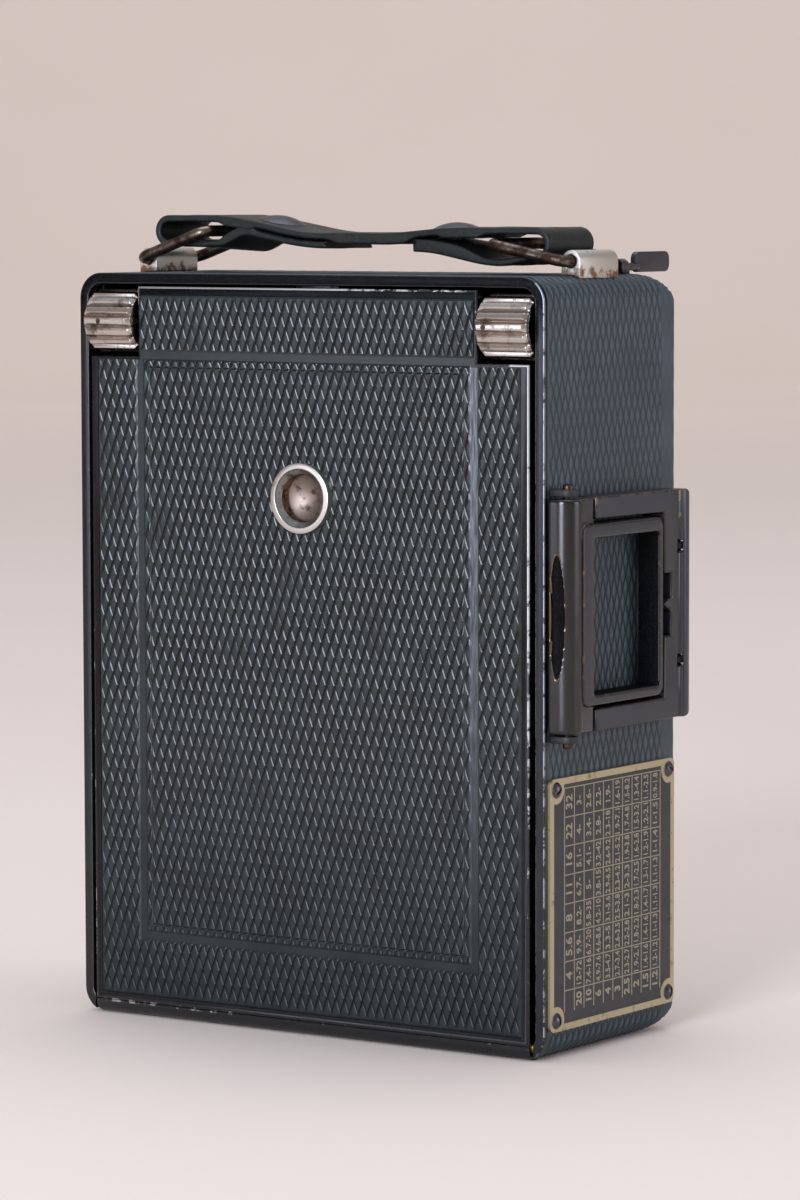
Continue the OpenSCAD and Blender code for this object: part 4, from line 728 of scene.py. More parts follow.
band_lines = [d + s for d in (0, BAND_W, -LINE_IN) for s in (-BAND_SOFT, BAND_SOFT)] + [-LINE_IN]
bed_columns = steps(bed_low.x, bed_high.x, DIAMOND_W / BED_SPLIT, both_ways(
    [BAND_X + d for d in band_lines] + [notch_x, bed_high.x - EDGE_TURN]))
bed_rows = steps(bed_low.z, bed_high.z, DIAMOND_H / BED_SPLIT, [
    band_mid + s * (band_half + d) for d in band_lines for s in (-1, 1)] + [
    notch_z, bed_low.z + EDGE_TURN, bed_high.z - EDGE_TURN])
bed_skin = panel("bed_leather_pressed", bed_columns, bed_rows, bed_place, on_bed, bed_hide, BED_RELIEF, BED_SHOULDERS)
settle(bed_skin, "bed", "leather", "bed_leather")
print("bed leather faces:", len(bed_skin.data.polygons))

# %% [markdown]
# ## The leather round the body
# One strip goes round the body, over the corners, and turns over the rear edges onto the back. Along the strip the
# diamonds lie lengthwise. A point of the strip is found by walking round a rounded rectangle, then backwards along
# the depth, and from there outwards until the body's form is met. The form is the common part of three rounded
# prisms, and a signed distance tells how far a point is from each.

# %% Body leather
skin_low, skin_high = box_mm("body_leather")
SIDE_X, TOP_Z, BACK_Y = skin_high.x, skin_high.z, skin_high.y
FRONT_CORNER_R, REAR_TOP_R, REAR_SIDE_R = 4.0, 7.5, 1.5
RAIL_HALF, RAIL_LOW, RAIL_HIGH = 37.2, 8.4, 109.8
FAN_R = 3.0
BAY_HALF, BAY_BACK = 41.6, -15.85


def inside_of_rounded(a, b, half_a, half_b, r):
    """Signed distance to a rounded rectangle about the origin."""
    qa, qb = np.abs(a) - half_a + r, np.abs(b) - half_b + r
    return np.hypot(np.maximum(qa, 0), np.maximum(qb, 0)) + np.minimum(np.maximum(qa, qb), 0) - r


def body_distance(x, y, z):
    far = 200.0
    mid = TOP_Z / 2
    depth_mid, depth_half = (BACK_Y - far) / 2, (BACK_Y + far) / 2
    return np.maximum.reduce([
        inside_of_rounded(x, z - mid, SIDE_X, mid, FRONT_CORNER_R),
        inside_of_rounded(y - depth_mid, z - mid, depth_half, mid, REAR_TOP_R),
        inside_of_rounded(x, y - depth_mid, SIDE_X, depth_half, REAR_SIDE_R),
    ])


def round_path(s, half, high, r):
    """Point and outward direction at the distance s along a rounded rectangle, from its lower right."""
    straight_z, straight_x, arc = high - 2 * r, 2 * (half - r), math.pi * r / 2
    legs = [
        (straight_z, (half, r), (0, 1), 0), (arc, (half - r, high - r), None, 0),
        (straight_x, (half - r, high), (-1, 0), 90), (arc, (r - half, high - r), None, 90),
        (straight_z, (-half, high - r), (0, -1), 180), (arc, (r - half, r), None, 180),
        (straight_x, (r - half, 0), (1, 0), 270), (arc, (half - r, r), None, 270),
    ]
    s %= sum(leg[0] for leg in legs)
    for length, start, step, degrees in legs:
        if s <= length:
            break
        s -= length
    angle = math.radians(degrees) + (0 if step else s / r)
    normal = (math.cos(angle), math.sin(angle))
    if step:
        return (start[0] + step[0] * s, start[1] + step[1] * s), normal
    return (start[0] + normal[0] * r, start[1] + normal[1] * r), normal


def strip_ray(s, t):
    """Start and direction of the outward walk for a point of the strip."""
    (px, pz), (nx, nz) = round_path(s, SIDE_X, TOP_Z, FRONT_CORNER_R)
    bend_from = BACK_Y - FAN_R
    angle = min(max((t - bend_from) / FAN_R, 0), math.pi / 2)
    y = min(t, bend_from)
    return (px - FAN_R * nx, y, pz - FAN_R * nz), (math.cos(angle) * nx, math.sin(angle), math.cos(angle) * nz)


STRIP_SPLIT = 6
STRIP_STEP = DIAMOND_W / STRIP_SPLIT
STRIP_TURN, WALK_FAR, HALVINGS = 0.3, 12.0, 30
around = 2 * (TOP_Z + 2 * SIDE_X) - 8 * FRONT_CORNER_R + 2 * math.pi * FRONT_CORNER_R
row_count = round(around / DIAMOND_H) * STRIP_SPLIT
strip_front = skin_low.y
strip_bend = BACK_Y - FAN_R + FAN_R * math.pi / 2
strip_rows = [around * k / row_count for k in range(row_count + 1)]
strip_columns = steps(strip_front, strip_bend, STRIP_STEP, [BAY_BACK, strip_front + STRIP_TURN])
starts, ways = zip(*[strip_ray(s, t) for s in strip_rows for t in strip_columns])
starts, ways = np.array(starts), np.array(ways)
near, far = np.zeros(len(starts)), np.full(len(starts), WALK_FAR)
for _ in range(HALVINGS):
    middle = (near + far) / 2
    x, y, z = (starts + ways * middle[:, None]).T
    out = body_distance(x, y, z) > 0
    far, near = np.where(out, middle, far), np.where(out, near, middle)
skin_points = starts + ways * near[:, None]
skin_points = skin_points.reshape(len(strip_rows), len(strip_columns), 3)
print("strip:", round(around, 1), "mm round,", len(strip_rows), "x", len(strip_columns), "points")

# %% [markdown]
# The rear border goes on from where the strip has turned over onto the back, straight inwards to the rails. Its
# inner edge is a rectangle, so each point of the strip's last line moves towards the nearest point of it.

# %% Body leather, back border and piece
BORDER_STEPS = 12
STRIP_PLAIN, STRIP_FULL, STRIP_DROP = 0.1, 0.8, 0.1
REAR_PLAIN, REAR_SOFT, REAR_SHARE, BACK_SHARE = 4.5, 0.6, 0.25, 0.6
BODY_RELIEF, BODY_SHOULDERS = 0.12, (0.33, 0.33, 0.33, 0.33)
last = skin_points[:, -1, :]
inner = np.stack([
    np.clip(last[:, 0], -RAIL_HALF, RAIL_HALF), last[:, 1], np.clip(last[:, 2], RAIL_LOW, RAIL_HIGH)], axis=1)
border = np.stack([last + (inner - last) * (k + 1) / BORDER_STEPS for k in range(BORDER_STEPS)], axis=1)
skin_points = np.concatenate([skin_points, border], axis=1)
border_columns = [strip_bend + STRIP_STEP * (k + 1) for k in range(BORDER_STEPS)]
all_columns = strip_columns + border_columns
across_step = np.gradient(skin_points, axis=1)
along_step = np.gradient(skin_points, axis=0)
skin_normals = np.cross(along_step, across_step)
skin_normals /= np.maximum(np.linalg.norm(skin_normals, axis=2, keepdims=True), 1e-9)
skin_normals *= -1
column_of = {u: i for i, u in enumerate(all_columns)}
row_of = {v: j for j, v in enumerate(strip_rows)}


def strip_place(t, s):
    i, j = column_of[t], row_of[s]
    edge = t - strip_front
    pattern = BACK_SHARE
    if t < BACK_Y:
        pattern = REAR_SHARE + (1 - REAR_SHARE) * ramp(BACK_Y - REAR_PLAIN - t, -REAR_SOFT, REAR_SOFT)
    share = pattern * ramp(edge, STRIP_PLAIN, STRIP_FULL)
    sunk = STRIP_DROP * (1 - ramp(edge, 0.0, STRIP_TURN))
    return tuple(skin_points[j, i]), tuple(skin_normals[j, i]), share, sunk, 0.0


def on_strip(t, s):
    (x, z), _ = round_path(s, SIDE_X, TOP_Z, FRONT_CORNER_R)
    return not (z < FRONT_CORNER_R / 2 and abs(x) < BAY_HALF and t < BAY_BACK)


body_skin = panel(
    "body_leather_pressed", all_columns, strip_rows, strip_place, on_strip, body_hide, BODY_RELIEF, BODY_SHOULDERS)
settle(body_skin, "body", "leather", "body_leather")
print("body leather faces:", len(body_skin.data.polygons))

# %% [markdown]
# ## Enamelled pieces
# The solids of these pieces are right, but their edges are knife sharp. A small rounding on every edge catches the
# light as real edges do, and takes the worn finish. The wear isn't even: the bed's top lip is chipped bright from
# the left, its right lip shines where the thumb slides along it, and the finder shows brass where it is pulled open.

# %% Round the edges of the enamelled pieces
TOP_LIP_Z, SIDE_LIP_X, RIM_X, FRONT_Y = 114.5, 40, 42, -18.4
FINDER_NOSE_Y, FINDER_REAR_Y, FINDER_TOP_Z = -12, 14, 83
LIP_BEYOND, NOTCH_BEYOND = 0.4, 0.3


def bed_wear(x, y, z):
    if z > TOP_LIP_Z:
        return 1.05 - 0.45 * ramp(x, -38, 20)
    if x > SIDE_LIP_X:
        return 0.2 + 0.85 * ramp(z, 66, 80)
    if x < -SIDE_LIP_X:
        return 0.55 - 0.3 * ramp(z, 10, 45)
    return 0.15


def rim_wear_and_highlight(x, y, z):
    # On the right the rim's edge is mostly bare pale metal, more so upwards: partly wear, partly a painted highlight
    # standing for glossy enamel on a rounded edge.
    if x > RIM_X:
        return 0.62 + 0.2 * ramp(z, 40, 90)
    if x < -RIM_X:
        return 0.2 + 0.4 * ramp(z, 8, 20) - 0.3 * ramp(z, 100, 108)
    return 0.2


def finder_wear(x, y, z):
    if y < FINDER_NOSE_Y:
        return 0.48
    if z > FINDER_TOP_Z or y > FINDER_REAR_Y:
        return 0.6
    return 0.36


def in_front(x, y, z):
    return y < FRONT_Y


def everywhere(x, y, z):
    return True


def on_outer_lip(x, y, z):
    outside = abs(x) > bed_high.x + LIP_BEYOND or z > bed_high.z + LIP_BEYOND
    in_notch = abs(x) > notch_x + NOTCH_BEYOND and z > notch_z + NOTCH_BEYOND
    return y < FRONT_Y and (outside or in_notch)


softened("body_casing", 0.22, body_enamel, rim_edge, rim_wear_and_highlight, segments=3, only=in_front)
softened("bed_plate", 0.28, body_enamel, lip_edge, bed_wear, segments=3, only=on_outer_lip)
leaf = softened("finder_front", 0.45, finder_enamel, finder_edge, finder_wear, segments=4, only=everywhere)
softened("finder_rear", 0.3, finder_enamel, finder_edge, finder_wear, segments=3, only=everywhere)
softened("back_catch", 0.3, finder_enamel, finder_edge, segments=3)
softened("handle_rivets", 0.12, finder_enamel, finder_edge)
softened("finder_pin_front", 0.35, pin_brass, segments=4)
softened("finder_pin_rear", 0.1, pin_brass)
for node in ("finder_lugs_front", "finder_lugs_rear"):
    softened(node, 0.2, inner_enamel)
for node in ("back_rails", "focusing_frame", "hood_cover"):
    softened(node, 0.2, body_enamel, rim_edge)
print("enamelled pieces rounded")

# %% [markdown]
# ## The nose of the finder
# The front leaf ends in a thick polished nose with a scoop for the fingernail. The solid's plain roll is cut off, and a
# nose with a flat front wall, a large round towards the outside and the scoop takes its place. The pin's bore stays.

# %% Finder nose
leaf_low, leaf_high = box_mm("finder_front")
ROLL_R, ROLL_END, PIN_BORE_R = 2.05, 2.95, 0.87
NOSE_FRONT, NOSE_FOOT, NOSE_TOP, NOSE_BACK = -0.35, -0.25, 4.1, 2.75
NOSE_ROUND, FOOT_ROUND, WEB_TOP, NOSE_SUNK = 2.85, 0.8, 3.5, 3.2
NOSE_TIP, TIP_STEPS, HIDDEN_STEPS = 0.6, 5, 12
NOSE_STEPS, WALL_STEPS, FOOT_STEPS = 30, 20, 8
SCOOP_L, SCOOP_MID, SCOOP_W, SCOOP_DEEP = 9.5, 1.5, 1.2, 0.85
SCOOP_BACK, BACK_ROUND, WEB_LAP = 1.2, 0.25, 0.3
NOSE_WEAR, NOSE_RINGS, WORN_STEP = 0.9, 200, range(1, 5)
WINDOW_FRONT, WINDOW_REAR, WINDOW_LOW, WINDOW_TOP, WINDOW_ROOM = 6.4, 25.1, 5.55, 29.15, 0.1


def in_window(x, y, z):
    along = WINDOW_FRONT - WINDOW_ROOM < y - leaf_low.y < WINDOW_REAR + WINDOW_ROOM
    return along and WINDOW_LOW - WINDOW_ROOM < z - leaf_low.z < WINDOW_TOP + WINDOW_ROOM


def nose_outline():
    """Section of the nose as (distance behind the front, height above the side), from its step round to its foot."""
    step = WEB_TOP - WEB_LAP
    line = [(NOSE_SUNK, step), (NOSE_BACK, step), (NOSE_BACK, NOSE_TOP - BACK_ROUND)]
    line += arc((NOSE_BACK - BACK_ROUND, NOSE_TOP - BACK_ROUND), BACK_ROUND, 30, 90, 2)
    line += arc((NOSE_FRONT + NOSE_ROUND, NOSE_TOP - NOSE_ROUND), NOSE_ROUND, 90, 180, NOSE_STEPS)
    wall = NOSE_TOP - NOSE_ROUND - NOSE_FOOT - FOOT_ROUND
    line += [(NOSE_FRONT, NOSE_TOP - NOSE_ROUND - wall * k / WALL_STEPS) for k in range(1, WALL_STEPS)]
    line += arc((NOSE_FRONT + FOOT_ROUND, NOSE_FOOT + FOOT_ROUND), FOOT_ROUND, 180, 270, FOOT_STEPS)
    foot_start = NOSE_FRONT + FOOT_ROUND
    line += [(foot_start + (NOSE_SUNK - foot_start) * k / HIDDEN_STEPS, NOSE_FOOT) for k in range(1, HIDDEN_STEPS)]
    hidden = step - NOSE_FOOT
    return line + [(NOSE_SUNK, NOSE_FOOT + hidden * k / HIDDEN_STEPS) for k in range(HIDDEN_STEPS)]


def scoop(u, v, off):
    """Depth of the fingernail's scoop at a place in the section, this far from the middle of the nose."""
    share = 1 - (off / SCOOP_L) ** 2
    if share <= 0 or u > SCOOP_BACK:
        return 0.0
    across = 1 - ((v - SCOOP_MID) / (SCOOP_W * math.sqrt(share))) ** 2
    return SCOOP_DEEP * math.sqrt(share * max(0.0, across))


def cut_roll(piece):
    """Cuts the solid's roll off the leaf and closes the cut."""
    with reshaped(piece.data) as work:
        everything = work.verts[:] + work.edges[:] + work.faces[:]
        bmesh.ops.bisect_plane(work, geom=everything, plane_co=(0, (leaf_low.y + ROLL_END) * MM, 0),
                               plane_no=(0, 1, 0), clear_inner=True)
        waiting = [max(work.verts, key=lambda v: v.co.y)]
        kept = set(waiting)
        while waiting:
            here = waiting.pop()
            fresh = {edge.other_vert(here) for edge in here.link_edges} - kept
            kept |= fresh
            waiting += fresh
        bmesh.ops.delete(work, geom=[v for v in work.verts if v not in kept], context="VERTS")
        bmesh.ops.holes_fill(work, edges=[e for e in work.edges if e.is_boundary], sides=0)
        bmesh.ops.recalc_face_normals(work, faces=work.faces)


cut_roll(leaf)
# Painted shade: the faces round the finder's window take the near black enamel.
paint(leaf, painted_shade_enamel, in_window)
outline = nose_outline()
nose_h = leaf_high.z - leaf_low.z
levels = arc((NOSE_TIP, NOSE_TIP), NOSE_TIP, 180, 270, TIP_STEPS)[:-1]
levels += [(NOSE_TIP + (nose_h - 2 * NOSE_TIP) * k / NOSE_RINGS, 0.0) for k in range(NOSE_RINGS + 1)]
levels += [(nose_h - high, inset) for high, inset in levels[TIP_STEPS - 1::-1]]
nose_mid_v = (NOSE_TOP + NOSE_FOOT) / 2
pin_turns = [math.atan2(v - ROLL_R, u - ROLL_R) for u, v in outline]
bore = [(ROLL_R + PIN_BORE_R * math.cos(t), ROLL_R + PIN_BORE_R * math.sin(t), 0.0) for t in pin_turns]
nose_rings = [(0.0, bore)]
for high, inset in levels:
    narrow, thin = 1 - inset / (NOSE_SUNK - NOSE_FRONT), 1 - inset / (nose_mid_v - NOSE_FOOT)
    ring = [(NOSE_SUNK + narrow * (u - NOSE_SUNK), nose_mid_v + thin * (v - nose_mid_v),
             scoop(u, v, high - nose_h / 2)) for u, v in outline]
    nose_rings.append((high, ring))
nose_rings.append((nose_h, bore))
nose_points = [(leaf_low.x + v, leaf_low.y + u + deep, leaf_low.z + high)
               for high, ring in nose_rings for u, v, deep in ring]
nose_depths = [deep for _, ring in nose_rings for _, _, deep in ring]
nose_faces = walls(len(nose_rings), len(outline), "joined")
nose_finish = []
for corners in nose_faces:
    depths = [nose_depths[c] for c in corners]
    on_rim = max(depths) > 0 and min(depths) == 0
    on_step = corners[0] % len(outline) in WORN_STEP
    # Painted shade: the faces inside the scoop take the same near black enamel.
    nose_finish.append(nose_edge if on_rim or on_step else painted_shade_enamel if min(depths) > 0 else nose_enamel)
nose = coat(new_piece("finder_front_nose", nose_points, nose_faces), nose_finish, 40)
mark(nose.data, "wear_and_highlight", [NOSE_WEAR] * len(nose.data.vertices))
settle(nose, BODY_OF["finder_front"], SLOT_OF["finder_front"])
print("finder nose rings:", len(nose_rings))

# %% [markdown]
# ## Plated pieces
# The knobs are turned from brass, fluted, plated and left hollow at both ends, where the plate never reached: their
# cups are a deep brown. The bush is plated too and worn brown inside by tripod screws.

# %% Knobs
RIBS, POINTS_PER_RIB = 17, 10
RIB_SHARE, RIB_SOFT, RIB_ROUND, GROOVE_DEEP = 0.64, 0.14, 0.12, 0.55
KNOB_CHAMFER, CHAMFER_STEPS = 0.6, 4
KNOB_CUP_R, KNOB_CUP_DEPTH, KNOB_CUP_MID, KNOB_CUP_LIP = 3.7, 1.6, 0.8, 0.1
PIN_HOLE_R, PIN_STEPS, PIN_DEEP, PIN_PLACES = 0.42, 16, 0.3, (0.35, 0.2)
GROOVE_BROWN = 0.6
knob_y, knob_z = (knob_low.y + knob_high.y) / 2, (knob_low.z + knob_high.z) / 2
knob_r, knob_len = (knob_high.z - knob_low.z) / 2, knob_high.x - knob_low.x
knob_groove = aged_metal("brown_knob_groove", "#86756a", "#4a3b32", 0.34, 0.5, 3)


def rib_radius(turn):
    """Radius of the fluted rim at a share of a turn: broad rounded ribs between narrow grooves."""
    off = abs((turn * RIBS) % 1 - 0.5) * 2
    return knob_r - RIB_ROUND * off ** 2 - GROOVE_DEEP * ramp(off, RIB_SHARE - RIB_SOFT, RIB_SHARE + RIB_SOFT)


def knob_profile():
    """Distance from one end and greatest radius, from the middle of one cup over the rim to the other."""
    half = [(KNOB_CUP_DEPTH, KNOB_CUP_MID), (KNOB_CUP_DEPTH, KNOB_CUP_R), (KNOB_CUP_LIP, KNOB_CUP_R)]
    half.append((0.0, KNOB_CUP_R + KNOB_CUP_LIP))
    cut_shares = [k / CHAMFER_STEPS for k in range(CHAMFER_STEPS + 1)]
    half += [(KNOB_CHAMFER * share, knob_r - KNOB_CHAMFER * (1 - share)) for share in cut_shares]
    return half + [(knob_len - d, r) for d, r in half[::-1]]


def fluted_knob(name, start_x, node):
    outline_points = knob_profile()
    count = RIBS * POINTS_PER_RIB
    rim = [rib_radius(j / count) for j in range(count)]
    points = []
    for along, widest in outline_points:
        for (c, s), flute in zip(circle(count), rim):
            r = min(widest, flute)
            points.append((start_x + along, knob_y + r * c, knob_z + r * s))
    finishes = []
    for (_, first), (_, second) in zip(outline_points, outline_points[1:]):
        in_cup = max(first, second) <= KNOB_CUP_R
        for j in range(count):
            sunk = knob_r - max(rim[j], rim[(j + 1) % count]) > GROOVE_BROWN * GROOVE_DEEP
            finishes.append(cup_brass if in_cup else knob_groove if sunk else knob_nickel)
    finishes += [cup_brass, cup_brass]
    knob = new_piece(name, points, walls(len(outline_points), count, "capped"))
    return settle(coat(knob, finishes, 32), BODY_OF[node], SLOT_OF[node], node)


fluted_knob("knob_right_fluted", knob_low.x, "knob_right")
fluted_knob("knob_left_fluted", -knob_high.x, "knob_left")
hole_points, hole_faces = [], []
for x in (-knob_high.x + PIN_PLACES[0] * knob_len, knob_low.x + PIN_PLACES[1] * knob_len):
    start = len(hole_points)
    for y in (knob_low.y, knob_low.y + PIN_DEEP):
        hole_points += [(x + PIN_HOLE_R * c, y, knob_z + PIN_HOLE_R * s) for c, s in circle(PIN_STEPS)]
    hole_faces += [tuple(start + c for c in face) for face in walls(2, PIN_STEPS, "capped")]
pin_ends = coat(new_piece("knob_pin_ends", hole_points, hole_faces), pin_brass)
settle(pin_ends, BODY_OF["knob_pins"], SLOT_OF["knob_pins"])
print("knobs with", RIBS, "ribs")

# %% Bush, lugs and wire loops
BUSH_STEPS, BOWL_STEPS = 96, 10
BUSH_R, FACE_R, LINE_R, BORE_R, FLANGE_R = 5.45, 4.6, 4.48, 3.75, 8.0
LINE_DEEP, MOUTH_DEEP, BOWL_DEEP, BOWL_WALL, BOWL_R = 0.16, 0.8, 1.5, 0.3, 3.6
THREADS, THREAD_STEP = 4, 0.4
FLANGE_BACK, FLANGE_T = 2.0, 1.0
FACE_SOFT, EDGE_SOFT, RIM_ROUND = 0.03, 0.05, 0.16
bush_l = bush_high.y - bush_low.y
bowl_end = MOUTH_DEEP + THREADS * THREAD_STEP + BOWL_DEEP
turned = [(bowl_end - BOWL_DEEP * (k / BOWL_STEPS) ** 2, BOWL_R * k / BOWL_STEPS, bowl_metal)
          for k in range(BOWL_STEPS)]
for k in range(THREADS):
    low_turn = bowl_end - BOWL_DEEP - THREAD_STEP * k
    turned += [(low_turn, BOWL_R, cup_brass), (low_turn - THREAD_STEP / 2, BORE_R, cup_brass)]
turned += [(MOUTH_DEEP, BORE_R, mouth_nickel), (LINE_DEEP, LINE_R, dark_screw), (LINE_DEEP, FACE_R, bush_nickel)]
turned += [(FACE_SOFT, FACE_R, bush_nickel), (0.0, FACE_R + EDGE_SOFT, bush_nickel)]
turned += [(0.0, BUSH_R - RIM_ROUND, bush_nickel), (EDGE_SOFT, BUSH_R - EDGE_SOFT, bush_nickel)]
turned += [(RIM_ROUND, BUSH_R, bush_nickel)]
turned += [(bush_l - FLANGE_BACK - FLANGE_T, r, bush_nickel) for r in (BUSH_R, FLANGE_R)]
turned += [(bush_l - FLANGE_BACK, r, bush_nickel) for r in (FLANGE_R, BUSH_R)]
turned += [(bush_l, BUSH_R, bush_nickel), (bush_l, BORE_R, mouth_nickel)]
turned += [(bowl_end + BOWL_WALL, BORE_R, mouth_nickel), (bowl_end + BOWL_WALL, 0.0, mouth_nickel)]
bush_points = [(r * c, bush_low.y + deep, bush_z + r * s) for deep, r, _ in turned for c, s in circle(BUSH_STEPS)]
bush_faces = walls(len(turned), BUSH_STEPS)
bush_finish = [turned[face[0] // BUSH_STEPS][2] for face in bush_faces]
bush = coat(new_piece("tripod_bush_turned", bush_points, bush_faces), bush_finish, 30)
settle(bush, BODY_OF["tripod_bush"], SLOT_OF["tripod_bush"], "tripod_bush")
softened("handle_lugs", 0.2, lug_nickel, segments=3)
softened("catch_saddle", 0.12, dark_screw)
for node in ("loop_left", "loop_right"):
    softened(node, 0.1, wire_metal, angle=60)
print("plated pieces rounded")

# %% [markdown]
# ## The strap
# One strip of thick leather, folded round a wire loop at each end and riveted back on itself. Its middle line is the
# same as the solid's: two tails, two folds and the long upper layer, joined by soft waves. A real strap isn't as true
# as its solid, so the section is a rounded rectangle that swells and wanders a little, the lower left layer hangs
# down at the back, the lower right layer sags, and both tails end ragged.

# %% Strap middle line
STRAP_Y = -0.55
STRAP_W, STRAP_T, LAYER_GAP = 12.8, 1.1, 0.3
STRAP_MID_Z, STRAP_KNEE, FOLD_R = 123.75, 5.0, 1.95
LEFT_BAR, RIGHT_BAR = (-27.2, 124.5), (26.7, 122.7)
LEFT_RIVET, RIGHT_RIVET, CLENCH_R = 17.4, 15.4, 1.6
LEFT_TURN, RIGHT_TURN = -35.5, 34.3
LEFT_TAIL, RIGHT_TAIL = -4.7, 12.3
STRAP_STEP, FOLD_STEPS = 0.6, 14


def ease(a, b, t):
    return a + (b - a) * (1 - math.cos(math.pi * min(1.0, max(0.0, t)))) / 2


def strap_top(x):
    if x < 0:
        return ease(STRAP_MID_Z, LEFT_BAR[1] + FOLD_R, (-x - STRAP_KNEE) / (-LEFT_BAR[0] - STRAP_KNEE))
    return ease(STRAP_MID_Z, RIGHT_BAR[1] + FOLD_R, (x - STRAP_KNEE) / (RIGHT_BAR[0] - 2 * STRAP_KNEE))


def strap_under(x):
    under = strap_top(x) - STRAP_T - LAYER_GAP
    bar, rivet = (LEFT_BAR, LEFT_RIVET) if x < 0 else (RIGHT_BAR, RIGHT_RIVET)
    return ease(under, bar[1] - FOLD_R, (abs(x) - rivet - CLENCH_R) / (abs(bar[0]) - rivet - 2 * CLENCH_R))


def spaced(a, b):
    count = max(1, math.ceil(abs(b - a) / STRAP_STEP))
    return [a + (b - a) * k / count for k in range(count + 1)]


strap_line = [(x, strap_under(x)) for x in spaced(LEFT_TAIL, LEFT_TURN)]
strap_line += arc((LEFT_TURN, LEFT_BAR[1]), FOLD_R, -90, -270, FOLD_STEPS)[1:-1]
left_tail_end = len(strap_line)
strap_line += [(x, strap_top(x)) for x in spaced(LEFT_TURN, RIGHT_TURN)]
right_tail_start = len(strap_line)
strap_line += arc((RIGHT_TURN, RIGHT_BAR[1]), FOLD_R, 90, -90, FOLD_STEPS)[1:-1]
strap_line += [(x, strap_under(x)) for x in spaced(RIGHT_TURN, RIGHT_TAIL)]
print("strap line points:", len(strap_line))

# %% Strap piece
EDGE_R, WIDE_STEPS, EDGE_STEPS = 0.4, 12, 4
HANG, HANG_FROM, HANG_TO = 1.0, -34.0, -14.0
MID_SWELL, FOLD_SWELL, BAR_ROOM = 0.75, 0.6, 1.6
RIGHT_SAG, SAG_LOW_X, TAIL_DROP, TAIL_SWELL = 0.9, 27.5, 0.8, 1.0
RAGGED_MM, SWELL_SHARE, ASIDE_MM, WAVE_MM = 0.5, 0.03, 0.12, 0.03
SWELL_WAVE, ASIDE_WAVE, ACROSS_WAVE, ALONG_WAVE = 0.31, 0.11, 0.9, 0.23
RIVET_ROOM, RIVET_FREE, TAIL_SOFT = 0.6, 2.0, 2.5


def strap_section():
    """Points of the rounded section, as (across, up) from its middle."""
    half_w, half_t = STRAP_W / 2 - EDGE_R, STRAP_T / 2 - EDGE_R
    level = np.linspace(-half_w, half_w, WIDE_STEPS)[1:-1]
    points = [(w, STRAP_T / 2) for w in level]
    points += arc((half_w, half_t), EDGE_R, 90, 0, EDGE_STEPS) + arc((half_w, -half_t), EDGE_R, 0, -90, EDGE_STEPS)
    points += [(w, -STRAP_T / 2) for w in level[::-1]]
    points += arc((-half_w, -half_t), EDGE_R, -90, -180, EDGE_STEPS)
    return points + arc((-half_w, half_t), EDGE_R, 180, 90, EDGE_STEPS)


def thicker(index, x):
    """How much a layer swells towards the other one: in the middle of the strap and between rivet and wire."""
    left = ramp(x, LEFT_BAR[0] + BAR_ROOM, LEFT_BAR[0] + 2 * BAR_ROOM) * ramp(-LEFT_RIVET - x, RIVET_ROOM, RIVET_FREE)
    right = ramp(RIGHT_BAR[0] - x, BAR_ROOM, 2 * BAR_ROOM) * ramp(x - RIGHT_RIVET, RIVET_ROOM, RIVET_FREE)
    if left_tail_end <= index < right_tail_start:
        middle = ramp(x, LEFT_TAIL, LEFT_TAIL + TAIL_SOFT) * ramp(RIGHT_TAIL - x, 0.0, TAIL_SOFT)
        return MID_SWELL * middle + FOLD_SWELL * (left + right)
    if index >= right_tail_start:
        return TAIL_SWELL * ramp(RIGHT_BAR[0] - x, BAR_ROOM, 4 * BAR_ROOM)
    return FOLD_SWELL * (left + right)


def droop(index, x):
    """How far the lower right layer hangs below the solid's: its tail hangs free and it sags beside the wire."""
    if index < right_tail_start:
        return 0.0
    straight = strap_under(RIGHT_TAIL) - TAIL_DROP
    lowest = RIGHT_BAR[1] - FOLD_R - RIGHT_SAG
    if x < SAG_LOW_X:
        return strap_under(x) - ease(straight, lowest, (x - RIGHT_TAIL) / (SAG_LOW_X - RIGHT_TAIL))
    return ease(RIGHT_SAG, 0.0, (x - SAG_LOW_X) / (RIGHT_TURN - SAG_LOW_X))


def hang(index, x, across):
    """How far the lower left layer drops: nothing at the front edge, most at the back edge."""
    if index > left_tail_end or not HANG_FROM < x < HANG_TO:
        return 0.0
    along = math.sin(math.pi * (x - HANG_FROM) / (HANG_TO - HANG_FROM))
    return HANG * along * (across / STRAP_W + 0.5)


rng = np.random.default_rng(7)
section = strap_section()
ragged = rng.uniform(-RAGGED_MM, RAGGED_MM, (2, len(section)))
sway = rng.uniform(0, 2 * math.pi, 3)
strap_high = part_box("handle_strap")[1].z / MM
strap_points = []
for i, (x, z) in enumerate(strap_line):
    before, after = strap_line[max(0, i - 1)], strap_line[min(len(strap_line) - 1, i + 1)]
    run, rise = after[0] - before[0], after[1] - before[1]
    size = math.hypot(run, rise)
    run, rise = run / size, rise / size
    swell = 1 - SWELL_SHARE + SWELL_SHARE * math.sin(SWELL_WAVE * i + sway[0])
    aside = ASIDE_MM * math.sin(ASIDE_WAVE * i + sway[1])
    for k, (across, up) in enumerate(section):
        along = ragged[0][k] if i == 0 else ragged[1][k] if i == len(strap_line) - 1 else 0.0
        lift = up * swell + WAVE_MM * math.sin(ACROSS_WAVE * across + ALONG_WAVE * i + sway[2])
        if up < 0:
            lift -= thicker(i, x)
        strap_points.append((
            x + along * run - lift * rise,
            STRAP_Y + across + aside,
            min(strap_high, z + along * rise + lift * run - hang(i, x, across) - droop(i, x)),
        ))


